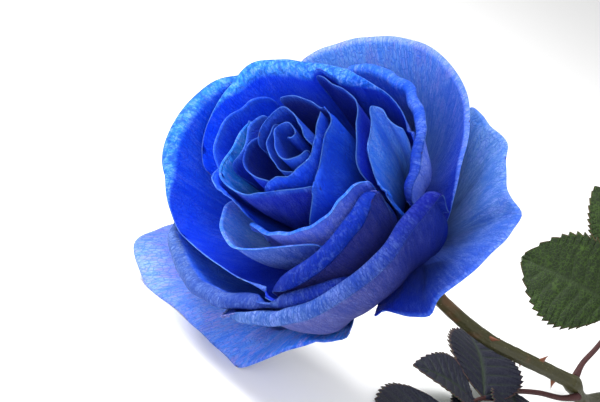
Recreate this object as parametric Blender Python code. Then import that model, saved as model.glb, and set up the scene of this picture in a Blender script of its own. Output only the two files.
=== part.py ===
# A cut blue rose lying on its side: petals in their spiral, hip with sepals, a stem with prickles
# and two compound leaves.
# Lengths in the tables are millimetres and angles are degrees; the meshes are made in metres.
import math

import bmesh
import bpy
import numpy as np

MM = 0.001

# Where the bloom stands. Its own frame has its axis along h, azimuth 0 turned to the sky,
# and h = 0 where the petals sit.
# REST_PRESS is how much a blade thins where it lies on the surface.
AXIS_TILT = 21.8
SKY_AZIMUTH = 1.7
BLOOM_HEIGHT = 52.5
ORIGIN_SHIFT = (-72.47, -3.74)
REST_PRESS = 0.05

PETAL_THICKNESS = 0.7
PETAL_CLEARANCE = 0.45
PETAL_COLUMNS = 11
PETAL_ROWS = 7
ROLL_ROWS = 3
ROLLED_FROM = 100.0
END_ROLL = 0.6
LEAST_LOOP = 0.45

# The cone of the receptacle that carries the claws, from its top ring to its shoulder, as (radius, h).
CONE_TOP = (1.5, 13.0)
CONE_FOOT = (8.8, -3.0)
CLAW_GAP = 0.3

# Nested petals are kept apart along rays that fan out from a ring behind the axis.
FAN_RADIUS = -18.0
FAN_H = 14.0
FAN_AZIMUTH_STEP = 4.0
FAN_TILT_STEP = 1.5
FAN_TILTS = 100

STEM_SIDES = 12
STEM_NECK_RADIUS = 2.3
STEM_FOOT_RADIUS = 2.7
BLADE_THICKNESS = 0.7
RACHIS_SIDES = 6

# Looks as colour and roughness.
BLUE_HEART = (0.010, 0.035, 0.42), 0.55
BLUE_PETAL = (0.018, 0.075, 0.60), 0.55
BLUE_PALE = (0.09, 0.17, 0.66), 0.55
GREEN_STEM = (0.13, 0.16, 0.045), 0.5
GREEN_HIP = (0.10, 0.17, 0.05), 0.5
GREEN_LEAF = (0.030, 0.062, 0.028), 0.6
SMOOTH_ANGLE = 40.0

# Each petal from the heart outwards: rim points as (azimuth, radius, h) of its crest, then how
# it stands there. lean is the slope of the petal at its rim, 90 upright; foot is its slope where
# it leaves the cone; reach is how far the two ends of its profile pull, as a part of its span;
# curl is (radius, angle) of the rolled rim; roll is how much of that curl each rim point has;
# drop is how far the side edges fall from the last rim points; claw is the half angle of its foot;
# ruffle is (depth, waves) along the rim.
PETALS = {
    "petal_heart_1": dict(
        rim=[(108, 2.7, 55), (98, 1.0, 55.5), (25, 1.7, 56), (47, 3.4, 56.5), (66, 5.3, 57),
             (82, 5.9, 57.5), (103, 6.5, 57.5), (132, 5.7, 57.5), (172, 5.7, 57.3),
             (205, 6.9, 57), (230, 8.0, 57), (252, 7.8, 56.5), (272, 6.4, 55)],
        lean=90, foot=56, reach=(0.12, 0.75), curl=(0.6, 40), drop=4, claw=130, columns=19),
    "petal_heart_2": dict(
        rim=[(95, 10.6, 54), (117, 9.4, 55), (138, 8.7, 55), (165, 8.7, 54.5), (197, 9.6, 54.5),
             (218, 10.2, 54), (236, 9.4, 51)],
        lean=90, foot=34, reach=(0.14, 0.7), curl=(0.6, 30), drop=10, claw=60),
    "petal_heart_3": dict(
        rim=[(-50, 4.6, 56), (0, 4.4, 57), (25, 5.2, 57), (52, 8.6, 57), (66, 11.2, 57.5),
             (82, 12.4, 56.5), (100, 12.6, 56), (124, 13.2, 53.5)],
        lean=92, foot=40, reach=(0.15, 0.7), curl=(0.6, 40), drop=9, claw=70),
    "petal_heart_4": dict(
        rim=[(112, 16.4, 50), (126, 16.8, 52.5), (144, 17.9, 53), (158, 17.3, 53),
             (173, 15.6, 53), (188, 14.0, 52)],
        lean=94, foot=36, reach=(0.2, 0.6), curl=(0.6, 60), drop=14, claw=40),
    "petal_heart_5": dict(
        rim=[(187, 16.4, 50.5), (199, 14.0, 54), (211, 12.8, 56), (225, 11.8, 54.5),
             (243, 10.0, 55), (266, 8.8, 55), (300, 7.0, 55), (330, 7.2, 55), (346, 8.4, 55),
             (371, 11.4, 53)],
        lean=92, foot=36, reach=(0.18, 0.65), curl=(0.6, 40), drop=9, claw=60, columns=17),
    "petal_inner_1": dict(
        rim=[(94, 26.5, 45), (101, 25, 48), (108, 23, 50), (116, 21, 50.4), (125, 20, 50.4),
             (132, 21, 50), (136, 24, 48.5)],
        lean=88, foot=34, reach=(0.28, 0.5), curl=(0.8, 60), drop=16, claw=28),
    "petal_inner_2": dict(
        rim=[(103, 26.4, 46.5), (112, 25.2, 49), (124, 25.2, 50.2), (137, 26.4, 50.4),
             (146, 27.1, 50.4), (160, 24.7, 50.8), (175, 21.8, 51.1), (191, 17, 51.2),
             (212, 14.6, 51.4), (232, 14.2, 51.3), (248, 14, 49.5)],
        lean=90, foot=32, reach=(0.25, 0.55), curl=(0.8, 60), drop=16, claw=36),
    "petal_inner_3": dict(
        rim=[(-133, 19.5, 40), (-122, 17.0, 46), (-111, 15.0, 50), (-98, 12.6, 51.5),
             (-75, 10.4, 52.5), (-42, 9.0, 53), (-18, 11.4, 53.5), (4, 12.8, 53),
             (26, 13.4, 52.5), (44, 15.4, 52), (58, 18.0, 52), (73, 21.6, 50)],
        lean=91, foot=30, reach=(0.25, 0.55), curl=(0.8, 50), drop=12, claw=40),
    "petal_ring_1": dict(
        rim=[(85, 31.8, 44.5), (91, 32, 47), (97, 31.9, 47.8), (104, 34.2, 48), (111, 34.6, 48.3),
             (121, 33.7, 48.5), (130, 31.4, 48.5), (142, 28.4, 48.5), (158, 25.4, 48.5),
             (170, 25, 47)],
        lean=90, foot=28, reach=(0.34, 0.5), curl=(0.8, 60), drop=16, claw=26),
    "petal_ring_2": dict(
        rim=[(-64, 18.4, 46.5), (-49, 17.7, 49.5), (-30, 17.7, 50.3), (-10, 19.5, 50),
             (4, 21, 49.5), (19, 22.2, 48.6), (37, 25.2, 47.2), (49, 28.6, 45.3)],
        lean=90, foot=26, reach=(0.3, 0.5), curl=(0.8, 50), drop=15, claw=26),
    "petal_ring_3": dict(
        rim=[(183, 26.2, 43.5), (190, 26.2, 45.2), (201, 26.6, 45.8), (215, 26.3, 45.8),
             (227, 24.8, 45.8), (239, 23.8, 45.8), (251, 22.7, 45.3), (264, 20.8, 44.8),
             (285, 19, 42.5)],
        lean=90, foot=26, reach=(0.34, 0.5), curl=(1.0, 110), drop=15, claw=26),
    "petal_ring_4": dict(
        rim=[(146, 29.6, 36), (152, 31.2, 40), (162, 33.4, 42), (175, 34.8, 43),
             (186, 34.6, 43.5), (196, 32.0, 43.5), (208, 29.6, 43), (220, 28.4, 43),
             (231, 27.4, 41)],
        lean=88, foot=14, reach=(0.4, 0.5), curl=(0.9, 80), drop=14, claw=22),
    "petal_roll_1": dict(
        rim=[(210, 39.0, 37), (215, 38.0, 40), (221, 36.6, 41.8), (233, 33.0, 42.3),
             (248, 28.6, 42.3), (261, 25.4, 42.2), (272, 23.2, 41.6), (284, 21.7, 39.5)],
        roll=[0.5, 0.8, 1, 1, 1, 1, 0.9, 0.6],
        lean=90, foot=15, reach=(0.4, 0.5), curl=(2.7, 215), drop=14, claw=22),
    "petal_roll_2": dict(
        rim=[(290, 21.4, 37), (297, 21, 42.5), (308, 20.4, 45.2), (322, 20.6, 46.8),
             (336, 21.9, 47.8), (345, 23.6, 48.4), (343, 25.4, 47), (337, 26.4, 45.2),
             (331, 27.4, 43)],
        lean=84, foot=22, reach=(0.36, 0.45), curl=(0.8, 40), drop=10, claw=22, ruffle=(0.5, 3)),
    "petal_roll_3": dict(
        rim=[(330, 27.2, 34.8), (341, 28.8, 38), (356, 29.4, 41), (12, 29.6, 43.2),
             (30, 29.8, 44.4), (50, 31.8, 44.8), (61, 35.0, 44.8), (69, 39.4, 44.7),
             (77, 43.4, 44.3), (84, 46.2, 43.8), (92, 46.6, 43.6), (104, 44.6, 43.8),
             (118, 42.2, 43), (126, 41.8, 40)],
        roll=[0.2, 0.2, 0.2, 0.3, 0.8, 1, 1, 1, 1, 0.9, 0.55, 0.12, 0, 0],
        lean=84, foot=16, reach=(0.42, 0.45), curl=(3.8, 150), drop=12, claw=22, columns=15),
    "petal_roll_4": dict(
        rim=[(300, 28, 32.5), (309, 29, 34.6), (321, 30.8, 37), (332, 32.8, 38.3),
             (344, 33.8, 38.8), (354, 34.6, 38.8), (8, 34.8, 38.8), (26, 35.4, 37.8),
             (41, 36.2, 35.5)],
        lean=84, foot=14, reach=(0.42, 0.45), curl=(1.8, 160), drop=12, claw=20, ruffle=(0.4, 5)),
    "petal_cup_1": dict(
        rim=[(84, 50, 38), (90, 51, 42.5), (96, 52, 44.6), (102, 53, 45), (108, 54, 45),
             (115, 54.6, 45), (122, 54.2, 44.4), (128, 53.7, 43), (135, 52.6, 41),
             (142, 51.8, 39), (151, 49.4, 37.5), (162, 45.6, 36.5), (175, 42.1, 36.5),
             (191, 39.5, 36.5), (199, 38.6, 36.3), (205, 38.2, 35.6), (211, 38, 33.6)],
        roll=[0.3, 0.6, 0.8, 1, 1, 1, 1, 0.8, 0.4, 0.15, 0, 0, 0, 0, 0, 0, 0],
        lean=78, foot=12, reach=(0.45, 0.42), curl=(3.4, 160), drop=16, claw=20, columns=15),
    "petal_cup_2": dict(
        rim=[(143, 53.6, 31.8), (149, 53.8, 34.3), (155, 53.6, 35.4), (162, 52.8, 35.6),
             (169, 51.8, 35.6), (176, 50.8, 35.6), (183, 49.2, 35.6), (190, 47.2, 35.6),
             (198, 44.6, 35.6), (210, 41.8, 35.6), (223, 39.9, 35.6), (232, 38, 34.6),
             (241, 36.4, 31.6)],
        roll=[0.3, 0.7, 1, 1, 1, 1, 1, 1, 1, 1, 1, 0.9, 0.6],
        lean=80, foot=10, reach=(0.5, 0.42), curl=(2.6, 170), drop=10, claw=20, columns=13),
    "petal_cup_3": dict(
        rim=[(180, 43, 20), (186, 46.6, 27), (193, 48.8, 33), (200, 48.6, 35.2),
             (211, 47.2, 36.5), (223, 45.6, 37), (233, 43.6, 37), (243, 41.1, 37),
             (255, 39.2, 37), (265, 38, 37), (279, 36, 37), (289, 37, 37.4), (296, 38.4, 37)],
        roll=[0, 0.2, 0.7, 1, 1, 1, 1, 1, 1, 1, 1, 1, 0.9],
        lean=84, foot=0, reach=(0.6, 0.45), curl=(2.4, 190), drop=14, claw=20, columns=13),
    "petal_outer_1": dict(
        rim=[(302, 25.0, 4), (305, 28.0, 8), (311, 32.0, 13.5), (321, 36.0, 18.5),
             (331, 40.2, 22.5), (344, 45.4, 25), (355, 48.4, 26.5), (7, 50.4, 27.5),
             (22, 52.4, 28), (36, 53.0, 28), (50, 53.6, 28), (61, 54.0, 27.5), (70, 53.6, 25)],
        roll=[0, 0.2, 0.5, 0.8, 1, 1, 1, 1, 1, 1, 1, 1, 0.6],
        lean=48, foot=4, reach=(0.42, 0.4), curl=(2.2, 70), drop=5, claw=19, columns=15),
    "petal_outer_2": dict(
        rim=[(76, 50.0, 12), (88, 55.0, 18), (103, 57.6, 20), (118, 58.4, 20), (131, 56.4, 17),
             (143, 50.0, 11)],
        lean=42, foot=2, reach=(0.42, 0.4), curl=(2.6, 90), drop=4, claw=17),
    "petal_outer_3": dict(
        rim=[(238, 32, 7), (244, 35.5, 8.4), (250, 39.4, 9.8), (256, 44.2, 11.5), (262, 48, 13),
             (267, 46.6, 14), (273, 47.4, 14.5), (282, 50, 14.6), (292, 52.2, 15),
             (299, 54.6, 15), (305, 55.6, 15), (310, 52, 15), (317, 49.4, 15), (324, 49.4, 15.5),
             (331, 51, 16.2), (336, 50.2, 16.2), (342, 48.6, 16), (349, 47.2, 15.5),
             (357, 45.6, 13)],
        roll=[0, 0.3, 1, 1, 1, 1, 1, 1, 1, 1, 1, 1, 1, 1, 1, 1, 1, 0.8, 0.3],
        lean=26, foot=-7, reach=(0.42, 0.38), curl=(2.0, 55), drop=6, claw=19, columns=17),
    "petal_outer_4": dict(
        rim=[(140.5, 63, 25.4), (142.5, 73.6, 23.4), (146, 74, 21.8), (152, 72.4, 19.4),
             (157, 69, 17), (160, 66.4, 15.6), (170, 63.4, 12), (179, 61.4, 10.5),
             (185, 61.2, 9.6), (188.5, 60.6, 9.4), (193, 56, 9.4), (200, 50.4, 9.4),
             (207, 46, 9.4), (216, 42, 9.4), (222, 39, 9)],
        roll=[0.6, 1, 1, 1, 1, 1, 1, 1, 1, 1, 1, 1, 1, 1, 0.6],
        lean=16, foot=-13, reach=(0.42, 0.36), curl=(2.0, 50), drop=7, claw=19, columns=17),
}

# The turned outline of the hip under the bloom, as (radius, h) from the stem up to the top of the cone.
HIP_PROFILE = [(0.0, -20.0), (2.3, -20.0), (2.5, -18.6), (4.4, -16.4), (6.6, -13.0),
               (7.4, -10.0), (7.0, -7.4), (7.4, -5.8), (9.0, -4.6), (9.2, -3.7), CONE_FOOT,
               CONE_TOP, (0.0, 13.8)]
HIP_SIDES = 32

SEPAL_COUNT = 5
SEPAL_LENGTH = 18.0
SEPAL_WIDTH = 7.5
SEPAL_FIRST_AZIMUTH = 48.0
SEPAL_FOOT = (9.05, -5.2)
SEPAL_ROWS = 9
SEPAL_TURN = (-24.0, -88.0)
SEPAL_TROUGH = 0.22

# Stem centre line and leaf axes in the lying frame, with x from the foot of the petals towards the cut end.
STEM_PATH = [(18.85, 0.0, 44.95), (31.0, -1.6, 40.0), (45.0, -4.0, 34.2), (70.0, -6.6, 26.6),
             (98.0, -6.0, 21.0), (120.0, -5.4, 17.2), (137.0, -4.6, 13.6), (147.0, -2.6, 8.6),
             (160.0, 1.6, 4.2), (176.0, 7.0, 2.75), (196.0, 13.0, 2.75)]
STEM_NODE = 6
NODE_SWELL = 0.9
NODE_LENGTH = 5.0
PRICKLES = [(0.30, 60.0), (0.37, -70.0), (0.50, 10.0), (0.58, 165.0), (0.76, 100.0), (0.90, 30.0)]
PRICKLE_LENGTH = 3.4
PRICKLE_BASE = (1.5, 0.75)
PRICKLE_ROOT = 0.9
PRICKLE_HOOK = 0.9
PRICKLE_SIDES = 6
STEM_RINGS = 30


def unit(v):
    return v / np.maximum(np.linalg.norm(v, axis=-1, keepdims=True), 1e-9)


def smooth_curve(points, count):
    """Points at equal steps along a smooth curve through the given ones (Catmull-Rom, by chord length)."""
    p = np.asarray(points, float)
    chord = np.concatenate([[0.0], np.cumsum(np.linalg.norm(np.diff(p, axis=0), axis=1))])
    slope = np.gradient(p, chord, axis=0)
    t = np.linspace(0.0, chord[-1], count)
    i = np.clip(np.searchsorted(chord, t, side="right") - 1, 0, len(p) - 2)
    span = (chord[i + 1] - chord[i])[:, None]
    f = (t - chord[i])[:, None] / span
    start = (2 * f**3 - 3 * f**2 + 1) * p[i] + (f**3 - 2 * f**2 + f) * span * slope[i]
    return start + (3 * f**2 - 2 * f**3) * p[i + 1] + (f**3 - f**2) * span * slope[i + 1]


def cylindrical(azimuth, radius, h):
    a = np.radians(azimuth)
    h = np.broadcast_to(h, np.shape(a)).astype(float)
    return np.stack([radius * np.cos(a), radius * np.sin(a), h], axis=-1)


def petal_net(order, spec):
    """The middle surface of a petal, columns across and rows from claw to rim, in the bloom's frame."""
    lean = math.radians(spec["lean"])
    rim = np.array(spec["rim"], float)
    rim[:, 0] = np.degrees(np.unwrap(np.radians(rim[:, 0])))
    inward, down = spec["drop"] * math.cos(lean), spec["drop"] * math.sin(lean)
    side = np.array([2.0, inward, down])
    az, radius, h = np.concatenate([rim[:1] - side, rim, rim[-1:] + side * (1, -1, -1)]).T
    columns = spec.get("columns", PETAL_COLUMNS)
    corners = cylindrical(az, radius, h)
    crest = smooth_curve(corners, columns)
    across = np.linspace(-1.0, 1.0, columns)
    out = unit(crest * (1, 1, 0))
    up = np.array([0.0, 0.0, 1.0])

    # A rolled rim starts below and inside its crest.
    curl_radius, curl_angle = spec["curl"]
    share = np.sqrt(1.02 - across**4)
    if "roll" in spec:
        chord = np.concatenate([[0.0], np.cumsum(np.linalg.norm(np.diff(corners, axis=0), axis=1))])
        ends = [spec["roll"][0] * END_ROLL, *spec["roll"], spec["roll"][-1] * END_ROLL]
        share = np.interp((across + 1) / 2 * chord[-1], chord, ends)
    rise = math.cos(lean) * out + math.sin(lean) * up
    over = math.sin(lean) * out - math.cos(lean) * up
    turn = np.radians(curl_angle) * share
    loop = curl_radius * (LEAST_LOOP + (1 - LEAST_LOOP) * share)[:, None]
    top = np.minimum(turn, math.pi / 2)[:, None]
    start = crest - loop * (np.sin(top) * rise + (1 - np.cos(top)) * over)

    # The claw sits on the cone, further down it for each petal, and leaves it square.
    place = (order + 0.5) / len(PETALS)
    cone = np.array(CONE_TOP) + place * (np.array(CONE_FOOT) - CONE_TOP)
    slope = unit(np.array([CONE_TOP[1] - CONE_FOOT[1], CONE_FOOT[0] - CONE_TOP[0]]))
    cone = cone + CLAW_GAP * slope
    middle = (az[0] + az[-1]) / 2
    claw = cylindrical(middle + spec["claw"] * across, cone[0], cone[1])

    span = np.linalg.norm(start - claw, axis=1)[:, None]
    foot = math.radians(spec["foot"])
    away = unit(claw * (1, 1, 0) + 0.5 * out * cone[0])
    pull_1 = claw + spec["reach"][0] * span * (math.cos(foot) * away + math.sin(foot) * up)
    pull_2 = start - spec["reach"][1] * span * rise
    t = np.linspace(0.0, 1.0, PETAL_ROWS)[None, :, None]
    claw, start, pull_1, pull_2 = (p[:, None, :] for p in (claw, start, pull_1, pull_2))
    body = (1 - t)**3 * claw + 3 * (1 - t)**2 * t * pull_1
    body = body + 3 * (1 - t) * t**2 * pull_2 + t**3 * start
    if "ruffle" in spec:
        depth, waves = spec["ruffle"]
        wave = depth * np.sin(math.pi * waves * across)[:, None, None] * t**4
        body = body + wave * out[:, None, :]
        start = body[:, -1:, :]

    rows = ROLL_ROWS if curl_angle > ROLLED_FROM else 1
    step = np.linspace(0.0, 1.0, rows + 1)[None, 1:, None]
    angle = turn[:, None, None] * step
    round_rim = np.sin(angle) * rise[:, None, :] + (1 - np.cos(angle)) * over[:, None, :]
    return np.concatenate([body, start + loop[:, None] * round_rim], axis=1)


def fan(net):
    """Azimuth, tilt and reach of points along the fan of rays."""
    radius = np.hypot(net[..., 0], net[..., 1])
    azimuth = np.degrees(np.arctan2(net[..., 1], net[..., 0])) % 360
    tilt = np.degrees(np.arctan2(radius - FAN_RADIUS, net[..., 2] - FAN_H))
    return azimuth, tilt, np.hypot(radius - FAN_RADIUS, net[..., 2] - FAN_H)


def cells(azimuth, tilt):
    count = int(360 / FAN_AZIMUTH_STEP)
    turn = (azimuth / FAN_AZIMUTH_STEP).astype(int) % count
    return turn, np.clip((tilt / FAN_TILT_STEP).astype(int), 0, FAN_TILTS - 1)


def refine(net, times):
    """The net with each of its cells split in both ways, as flat facets would be."""
    for axis in (0, 1):
        n = net.shape[axis]
        at = np.linspace(0, n - 1, (n - 1) * times + 1)
        low = np.clip(at.astype(int), 0, n - 2)
        shape = [1, 1, 1]
        shape[axis] = -1
        f = (at - low).reshape(shape)
        net = (1 - f) * np.take(net, low, axis=axis) + f * np.take(net, low + 1, axis=axis)
    return net


def spread(grid, wrap):
    """The largest value of each cell and its neighbours."""
    out = grid
    for axis in (0, 1):
        before, after = np.roll(out, 1, axis=axis), np.roll(out, -1, axis=axis)
        if not wrap:
            edge = [slice(None), slice(None)]
            edge[axis] = 0
            before[tuple(edge)] = out[tuple(edge)]
            edge[axis] = -1
            after[tuple(edge)] = out[tuple(edge)]
        out = np.maximum(out, np.maximum(before, after))
    return out


def soften(grid):
    """Each value averaged with its neighbours, edges kept."""
    padded = np.pad(grid, 1, mode="edge")
    return (4 * grid + padded[:-2, 1:-1] + padded[2:, 1:-1] + padded[1:-1, :-2] + padded[1:-1, 2:]) / 8


def net_normals(net):
    across = np.gradient(net, axis=0)
    along = np.gradient(net, axis=1)
    return unit(np.cross(across, along))


def settle(net, covered):
    """The net moved outwards along the fan wherever an inner petal, already in covered, would touch it."""
    for _ in range(3):
        azimuth, tilt, reach = fan(net)
        radius = np.hypot(net[..., 0], net[..., 1])
        ray = np.stack([(radius - FAN_RADIUS) / reach * np.cos(np.radians(azimuth)),
                        (radius - FAN_RADIUS) / reach * np.sin(np.radians(azimuth)),
                        (net[..., 2] - FAN_H) / reach], axis=-1)
        facing = np.abs(np.sum(ray * net_normals(net), axis=-1))
        room = (PETAL_THICKNESS + PETAL_CLEARANCE) / np.clip(facing, 0.35, 1.0)
        limit = covered[cells(azimuth, tilt)]
        push = np.where(limit > 0, np.maximum(limit + room - reach, 0.0), 0.0)
        push[:, 0] = 0.0
        wide = spread(push, wrap=False)
        push = np.maximum(soften(soften(wide)), push)
        push[:, 0] = 0.0
        push[:, 1] *= 0.8
        net = net + push[..., None] * ray
    return net


def place_bloom(net):
    """From the bloom's frame to the lying one: its axis rises by AXIS_TILT towards -x."""
    tilt, sky = math.radians(AXIS_TILT), math.radians(SKY_AZIMUTH)
    upward = np.array([math.sin(tilt), 0.0, math.cos(tilt)])
    side = np.array([0.0, 1.0, 0.0])
    axis = np.array([-math.cos(tilt), 0.0, math.sin(tilt)])
    first = math.cos(sky) * upward - math.sin(sky) * side
    second = math.sin(sky) * upward + math.cos(sky) * side
    return net[..., :1] * first + net[..., 1:2] * second + net[..., 2:3] * axis + (0.0, 0.0, BLOOM_HEIGHT)


def plain_material(name, look):
    colour, roughness = look
    material = bpy.data.materials.new(name)
    material.use_nodes = True
    shader = material.node_tree.nodes["Principled BSDF"]
    shader.inputs["Base Color"].default_value = (*colour, 1.0)
    shader.inputs["Roughness"].default_value = roughness
    shader.inputs["Metallic"].default_value = 0.0
    material.diffuse_color = (*colour, 1.0)
    return material


def add_object(name, points, faces, look):
    """One closed mesh from points of the lying frame, flattened where it would pass the surface."""
    points = (np.asarray(points, float) + (*ORIGIN_SHIFT, 0.0)) * MM
    points[:, 2] = np.maximum(points[:, 2], 0.0)
    mesh = bpy.data.meshes.new(name)
    mesh.from_pydata(points.tolist(), [], [list(map(int, f)) for f in faces])
    mesh.materials.append(plain_material(name, look))
    mesh.shade_smooth()
    mesh.set_sharp_from_angle(angle=math.radians(SMOOTH_ANGLE))
    obj = bpy.data.objects.new(name, mesh)
    bpy.context.collection.objects.link(obj)
    return obj


def blade_faces(columns, rows):
    """Triangles of a closed blade: its face, its back split the same way, and its edge all round."""
    index = np.arange(columns * rows).reshape(columns, rows)
    faces = []
    for i in range(columns - 1):
        for j in range(rows - 1):
            a, b, c, d = index[i, j], index[i + 1, j], index[i + 1, j + 1], index[i, j + 1]
            split = [(a, b, c), (a, c, d)] if (i + j) % 2 else [(a, b, d), (b, c, d)]
            faces += split
            faces += [tuple(v + columns * rows for v in reversed(tri)) for tri in split]
    ring = np.concatenate([index[:, 0], index[-1, 1:], index[-2::-1, -1], index[0, -2:0:-1]])
    behind = ring + columns * rows
    for k in range(len(ring)):
        n = (k + 1) % len(ring)
        faces += [(ring[k], behind[k], behind[n]), (ring[k], behind[n], ring[n])]
    return faces


def blade(name, net, thickness, look):
    """A closed blade of even thickness round a middle surface."""
    normal = net_normals(net) * thickness / 2
    points = np.concatenate([(net + normal).reshape(-1, 3), (net - normal).reshape(-1, 3)])
    return add_object(name, points, blade_faces(*net.shape[:2]), look)


def bloom():
    covered = np.zeros((int(360 / FAN_AZIMUTH_STEP), FAN_TILTS))
    for order, (name, spec) in enumerate(PETALS.items()):
        net = settle(petal_net(order, spec), covered)
        azimuth, tilt, reach = fan(refine(net, 6))
        layer = np.zeros_like(covered)
        np.maximum.at(layer, cells(azimuth, tilt), reach)
        covered = np.maximum(covered, spread(layer, wrap=True))
        look = BLUE_HEART if "heart" in name else BLUE_PALE if "outer" in name else BLUE_PETAL
        net = place_bloom(net)
        net[..., 2] = np.maximum(net[..., 2], PETAL_THICKNESS / 2 - REST_PRESS)
        blade(name, net, PETAL_THICKNESS, look)


def lathe(name, profile, sides, look):
    """A turned solid from (radius, h) points, closed on the axis at both ends."""
    turns = np.linspace(0, 360, sides, endpoint=False)
    rings = [cylindrical(turns, r, h) for r, h in profile[1:-1]]
    points = np.concatenate(rings + [[(0, 0, profile[0][1])], [(0, 0, profile[-1][1])]])
    bottom, top = len(points) - 2, len(points) - 1
    faces = []
    for k in range(len(rings) - 1):
        for i in range(sides):
            j = (i + 1) % sides
            low, high = k * sides, (k + 1) * sides
            faces += [(low + i, low + j, high + j), (low + i, high + j, high + i)]
    last = (len(rings) - 1) * sides
    for i in range(sides):
        j = (i + 1) % sides
        faces += [(bottom, j, i), (top, last + i, last + j)]
    return add_object(name, place_bloom(points), faces, look)


def hip():
    lathe("hip", HIP_PROFILE, HIP_SIDES, GREEN_HIP)
    for k in range(SEPAL_COUNT):
        sepal(f"sepal_{k + 1}", SEPAL_FIRST_AZIMUTH + k * 360 / SEPAL_COUNT)


def sepal(name, azimuth):
    """A long pointed sepal, bent back towards the stem, with its foot at the shoulder of the hip."""
    t = np.linspace(0.0, 1.0, SEPAL_ROWS)
    turn = np.radians(SEPAL_TURN[0] + (SEPAL_TURN[1] - SEPAL_TURN[0]) * t)
    step = SEPAL_LENGTH / (SEPAL_ROWS - 1)
    out = SEPAL_FOOT[0] + np.concatenate([[0], np.cumsum(step * np.cos(turn[:-1]))])
    h = SEPAL_FOOT[1] + np.concatenate([[0], np.cumsum(step * np.sin(turn[:-1]))])
    width = SEPAL_WIDTH / 2 * np.clip(1.15 * (1 - t)**0.8 * (0.75 + 1.1 * t), 0.12, 1.0)
    a = math.radians(azimuth)
    outward = np.array([math.cos(a), math.sin(a), 0.0])
    sideways = np.array([-math.sin(a), math.cos(a), 0.0])
    middle = out[:, None] * outward + h[:, None] * (0, 0, 1)
    across = np.array([-1.0, 0.0, 1.0])
    net = middle[None] + (across[:, None] * width[None, :])[..., None] * sideways
    lift = np.stack([-np.sin(turn), np.cos(turn)], axis=-1)
    normal = lift[:, :1] * outward + lift[:, 1:] * (0, 0, 1)
    trough = SEPAL_TROUGH * np.abs(across)[:, None] * width[None, :]
    net = net + trough[..., None] * normal[None]
    blade(name, place_bloom(net), BLADE_THICKNESS, GREEN_HIP)


def frames_along(path):
    """Side and upward directions square to a path."""
    tangent = unit(np.gradient(path, axis=0))
    side = unit(np.cross(tangent, (0.0, 0.0, 1.0)))
    return tangent, side, np.cross(side, tangent)


def tube(name, path, radii, sides, look):
    """A closed tube of changing radius along a path."""
    _, side, up = frames_along(path)
    turn = np.linspace(0, 2 * math.pi, sides, endpoint=False)[None, :, None]
    spokes = np.cos(turn) * side[:, None] + np.sin(turn) * up[:, None]
    rings = path[:, None] + radii[:, None, None] * spokes
    points = np.concatenate([rings.reshape(-1, 3), path[:1], path[-1:]])
    start, end = len(points) - 2, len(points) - 1
    faces = []
    for k in range(len(path) - 1):
        for i in range(sides):
            j = (i + 1) % sides
            low, high = k * sides, (k + 1) * sides
            faces += [(low + i, high + j, low + j), (low + i, high + i, high + j)]
    last = (len(path) - 1) * sides
    for i in range(sides):
        j = (i + 1) % sides
        faces += [(start, i, j), (end, last + j, last + i)]
    return add_object(name, points, faces, look)


def fuse(name, pieces):
    """One body from overlapping pieces, by one Boolean union on a collection."""
    group = bpy.data.collections.new(name + " pieces")
    body = pieces[0]
    for piece in pieces[1:]:
        group.objects.link(piece)
    union = body.modifiers.new("union", "BOOLEAN")
    union.operation = "UNION"
    union.operand_type = "COLLECTION"
    union.collection = group
    union.solver = "EXACT"
    graph = bpy.context.evaluated_depsgraph_get()
    mesh = bpy.data.meshes.new_from_object(body.evaluated_get(graph))
    body.modifiers.clear()
    body.data = mesh
    body.name = name
    for piece in list(group.objects):
        bpy.data.objects.remove(piece)
    bpy.data.collections.remove(group)
    drop_scraps(mesh)
    mesh.shade_smooth()
    mesh.set_sharp_from_angle(angle=math.radians(SMOOTH_ANGLE))
    return body


def drop_scraps(mesh):
    """Keeps the largest connected shell, which fills sealed hollows and drops loose scraps."""
    bm = bmesh.new()
    bm.from_mesh(mesh)
    bmesh.ops.remove_doubles(bm, verts=bm.verts, dist=0.00001)
    left = set(bm.faces)
    shells = []
    while left:
        shell, edge = set(), [left.pop()]
        while edge:
            face = edge.pop()
            shell.add(face)
            for loop in face.loops:
                for other in loop.edge.link_faces:
                    if other in left:
                        left.remove(other)
                        edge.append(other)
        shells.append(shell)
    keep = max(shells, key=lambda s: sum(f.calc_area() for f in s))
    bmesh.ops.delete(bm, geom=[f for s in shells if s is not keep for f in s], context="FACES")
    bmesh.ops.triangulate(bm, faces=bm.faces)
    bm.to_mesh(mesh)
    bm.free()


def stem():
    path = smooth_curve(STEM_PATH, STEM_RINGS)
    along = np.linspace(0, 1, len(path))
    radii = STEM_NECK_RADIUS + (STEM_FOOT_RADIUS - STEM_NECK_RADIUS) * along
    node = np.linalg.norm(path - np.array(STEM_PATH[STEM_NODE]), axis=1)
    radii = radii + NODE_SWELL * np.exp(-(node / NODE_LENGTH)**2)
    body = tube("stem", path, radii, STEM_SIDES, GREEN_STEM)
    _, side, up = frames_along(path)
    pieces = [body]
    for k, (place, turn) in enumerate(PRICKLES):
        i = int(round(place * (len(path) - 1)))
        a = math.radians(turn)
        out = math.cos(a) * up[i] + math.sin(a) * side[i]
        foot = path[i] + out * (radii[i] - PRICKLE_ROOT)
        spine = np.stack([foot, foot + 0.6 * PRICKLE_LENGTH * out, foot + PRICKLE_LENGTH * out])
        ahead = unit(path[i] - path[min(i + 1, len(path) - 1)])
        spine[2] -= PRICKLE_HOOK * ahead
        pieces.append(prickle(f"prickle_{k}", spine, ahead))
    fuse("stem", pieces)


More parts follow.
